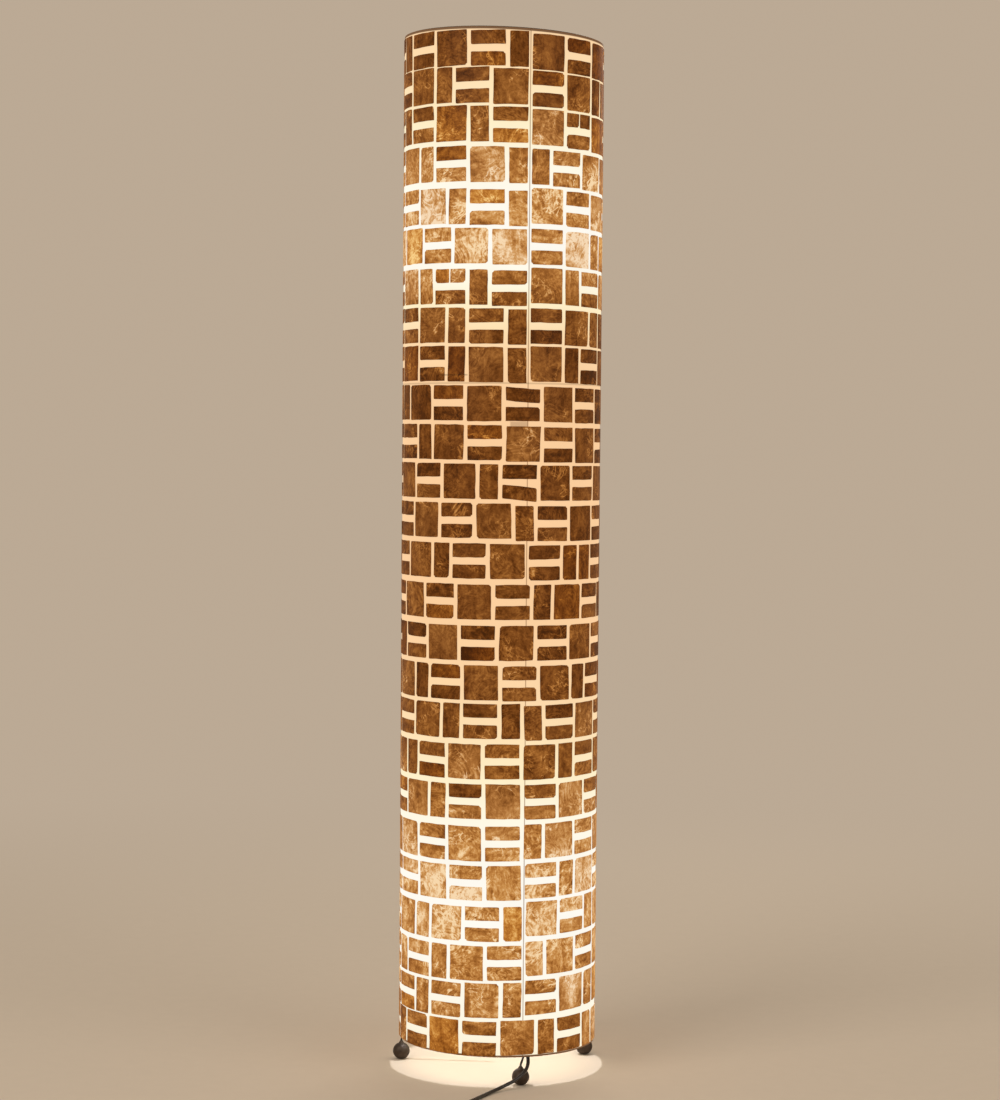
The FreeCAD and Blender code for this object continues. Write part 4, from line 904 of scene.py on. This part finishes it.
for node_name in sorted(name for name in NODES if name.startswith("shell_chips_")):
    first, last = (int(word) for word in node_name.split("_")[-2:])
    chip_group(f"capiz_{first:02d}_{last:02d}", node_name, range(first - 1, last), random_tones)

# %% [markdown]
# ## Materials of the CAD pieces
# The CAD already has the true shapes of the frame, the holders, the bulbs, the switch and the plug, down to the nuts
# and the clips. Modelling them again would only risk a size, so they keep their meshes and need just smooth shading
# and their finish. A table from names to finishes, where * stands for any letters, is shorter than a line for each.

# %% A finish for each CAD piece
DRESS = {
    "shade_skin_*": SHEET,
    "seam_backing": TAPE,
    "*_ring": BLACK_WIRE,
    "upright_rod*": BLACK_WIRE,
    "*_spider": BLACK_WIRE,
    "foot_ball*": BALL,
    "lock_nuts": STEEL,
    "*_stem": STEEL,
    "cord_relief_clamp": STEEL,
    "*_filament_mount": STEEL,
    "cord_bushes": BLACK_PLASTIC,
    "riser_clips": BLACK_PLASTIC,
    "*_holder_cap": BLACK_PLASTIC,
    "*_holder_skirt": BLACK_PLASTIC,
    "*_holder_core": PORCELAIN,
    "*_holder_contact": BRASS,
    "*_holder_screw_shell": BRASS,
    "*_bulb_cap": CAP_METAL,
    "*_bulb_tip": BLACK_GLASS,
    "*_bulb_glass": LIT_GLASS,
    "riser_lead": CORD,
    "inner_supply_lead": CORD,
    "cord_strain_relief": CORD,
    "switch_*_shell": CASE,
    "switch_rocker": CASE,
    "switch_screws": STEEL,
    "switch_terminals": BRASS,
    "plug_body": CASE,
    "plug_pins": NICKEL,
}
CAD_SMOOTH = 32
finishes = {name: DRESS[kind] for name in NODES for kind in DRESS if fnmatch(name, kind)}
for name, material in finishes.items():
    mesh = NODES[name].data
    mesh.materials.clear()
    mesh.materials.append(material)
    smooth(mesh, CAD_SMOOTH)
print(f"dressed: {len(finishes)} CAD pieces in {len(set(finishes.values()))} finishes")

# %% [markdown]
# ## Floor and surround
# The lamp stands on a plain pale floor that fades into a plain pale surround. The floor has to take the lamp's
# shadow and its pool of light near by, and to show no horizon far off. So its material turns from a matt surface
# into the surround's own colour with distance, for the rays that look at it.

# %% The surround's colour
SURROUND = (0.50, 0.40, 0.30)


def seen_directly(shader):
    """1 for rays from the camera, and for rays that metal or glass sends on."""
    rays = shader.add("ShaderNodeLightPath").outputs
    mirrored = shader.math("MAXIMUM", rays["Is Camera Ray"], rays["Is Glossy Ray"])
    return shader.math("MAXIMUM", mirrored, rays["Is Transmission Ray"])


print(f"the surround looks {SURROUND} in linear red, green and blue")

# %% A floor that fades away
FLOOR_COLOUR = (0.74, 0.60, 0.45)
FLOOR_RADIUS = 30.0
FADE_FROM, FADE_TO = 0.7, 3.2  # metres from the lamp's axis


def pale_floor():
    shader = Shader(bpy.data.materials.new("pale_floor"))
    flat = shader.vector("MULTIPLY", shader.place, (1.0, 1.0, 0.0))
    away = shader.add("ShaderNodeVectorMath", {0: flat}, operation="LENGTH").outputs["Value"]
    fade = shader.add("ShaderNodeMapRange", {"Value": away, "From Min": FADE_FROM, "From Max": FADE_TO},
                      interpolation_type="SMOOTHSTEP").outputs[0]
    fade = shader.math("MULTIPLY", fade, seen_directly(shader))
    grain = shader.math("MULTIPLY_ADD", shader.noise(40.0), 0.04, 0.98)
    near = shader.add("ShaderNodeBsdfDiffuse", {"Color": shader.scaled(FLOOR_COLOUR, grain)})
    far = shader.add("ShaderNodeEmission", {"Color": SURROUND})
    return shader.output(shader.add("ShaderNodeMixShader", {0: fade, 1: near.outputs[0], 2: far.outputs[0]}))


bm = bmesh.new()
bmesh.ops.create_circle(bm, cap_ends=True, segments=64, radius=FLOOR_RADIUS)
floor_mesh = bpy.data.meshes.new("floor")
bm.to_mesh(floor_mesh)
bm.free()
floor_mesh.materials.append(pale_floor())
floor = bpy.data.objects.new("floor", floor_mesh)
scene.collection.objects.link(floor)
floor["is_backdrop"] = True
print(f"floor: {FLOOR_RADIUS * 2:.0f} m across, faded out {FADE_TO} m from the lamp")

# %% The world: pale to look at, a soft light on the lamp
SOFT_WHITE = (1.0, 0.97, 0.93)
ROOM_LIGHT = 0.34

shader = Shader(bpy.data.worlds.new("surround"))
lit = shader.add("ShaderNodeBackground", {"Color": SOFT_WHITE, "Strength": ROOM_LIGHT})
seen = shader.add("ShaderNodeBackground", {"Color": SURROUND})
both = {0: seen_directly(shader), 1: lit.outputs[0], 2: seen.outputs[0]}
scene.world = shader.output(shader.add("ShaderNodeMixShader", both))


# %% [markdown]
# ## Lights
# Three large area lights light the lamp softly from the left, the right and behind. A small light over each bulb
# fills the tube, and the lower one throws the pool on the floor. A small light throws far sharper shadows than a
# frosted bulb, so the lower bulb throws none, and neither does anything that hangs below it inside the tube.

# %% Studio lights
AIM = Vector((0.0, 0.0, 0.7))


def soft_light(name, at, power, side):
    """A square area light that looks at the lamp's middle."""
    data = bpy.data.lights.new(name, "AREA")
    data.shape = "SQUARE"
    data.size = side
    data.energy = power
    data.color = SOFT_WHITE
    light = bpy.data.objects.new(name, data)
    light.location = at
    light.rotation_mode = "QUATERNION"
    light.rotation_quaternion = (AIM - Vector(at)).to_track_quat("-Z", "Y")
    scene.collection.objects.link(light)
    print(f"light {name}: {power:.0f} W, {(AIM - Vector(at)).length:.1f} m away")


soft_light("key", (-2.4, -2.6, 2.6), 52.0, 2.2)
soft_light("fill", (2.7, -2.2, 1.9), 26.0, 2.4)
soft_light("back", (0.6, 2.8, 2.6), 30.0, 2.2)

# %% Lights inside the tube
BULB_LIGHT_RADIUS = 0.010
# Beginnings of the names of the pieces that throw no shadow.
NO_SHADOW = ("lower_", "inner_supply_lead", "cord_", "lock_nuts")
for name, level, power, colour in (
    ("lower_fill", 0.360, 3.8, (0.80, 0.87, 1.0)),
    ("upper_fill", 1.245, 2.4, (1.0, 0.84, 0.60)),
):
    data = bpy.data.lights.new(name, "POINT")
    data.energy = power
    data.color = colour
    data.shadow_soft_size = BULB_LIGHT_RADIUS
    light = bpy.data.objects.new(name, data)
    light.location = (0.0, 0.0, level)
    scene.collection.objects.link(light)
clear = [name for name in NODES if name.startswith(NO_SHADOW)]
for name in clear:
    NODES[name].visible_shadow = False
print(f"lights: {sum(item.type == 'LIGHT' for item in scene.objects)}; {len(clear)} pieces throw no shadow")

# %% [markdown]
# ## Sizes and the end
# The dressed lamp must keep the CAD's size, so both boxes are written down and compared.

made_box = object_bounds()
for end, made, cad in zip(("low", "high"), made_box, cad_box):
    print(f"{end} corner, beside the CAD's, in mm:", [round((m - c) * 1000, 1) for m, c in zip(made, cad)])
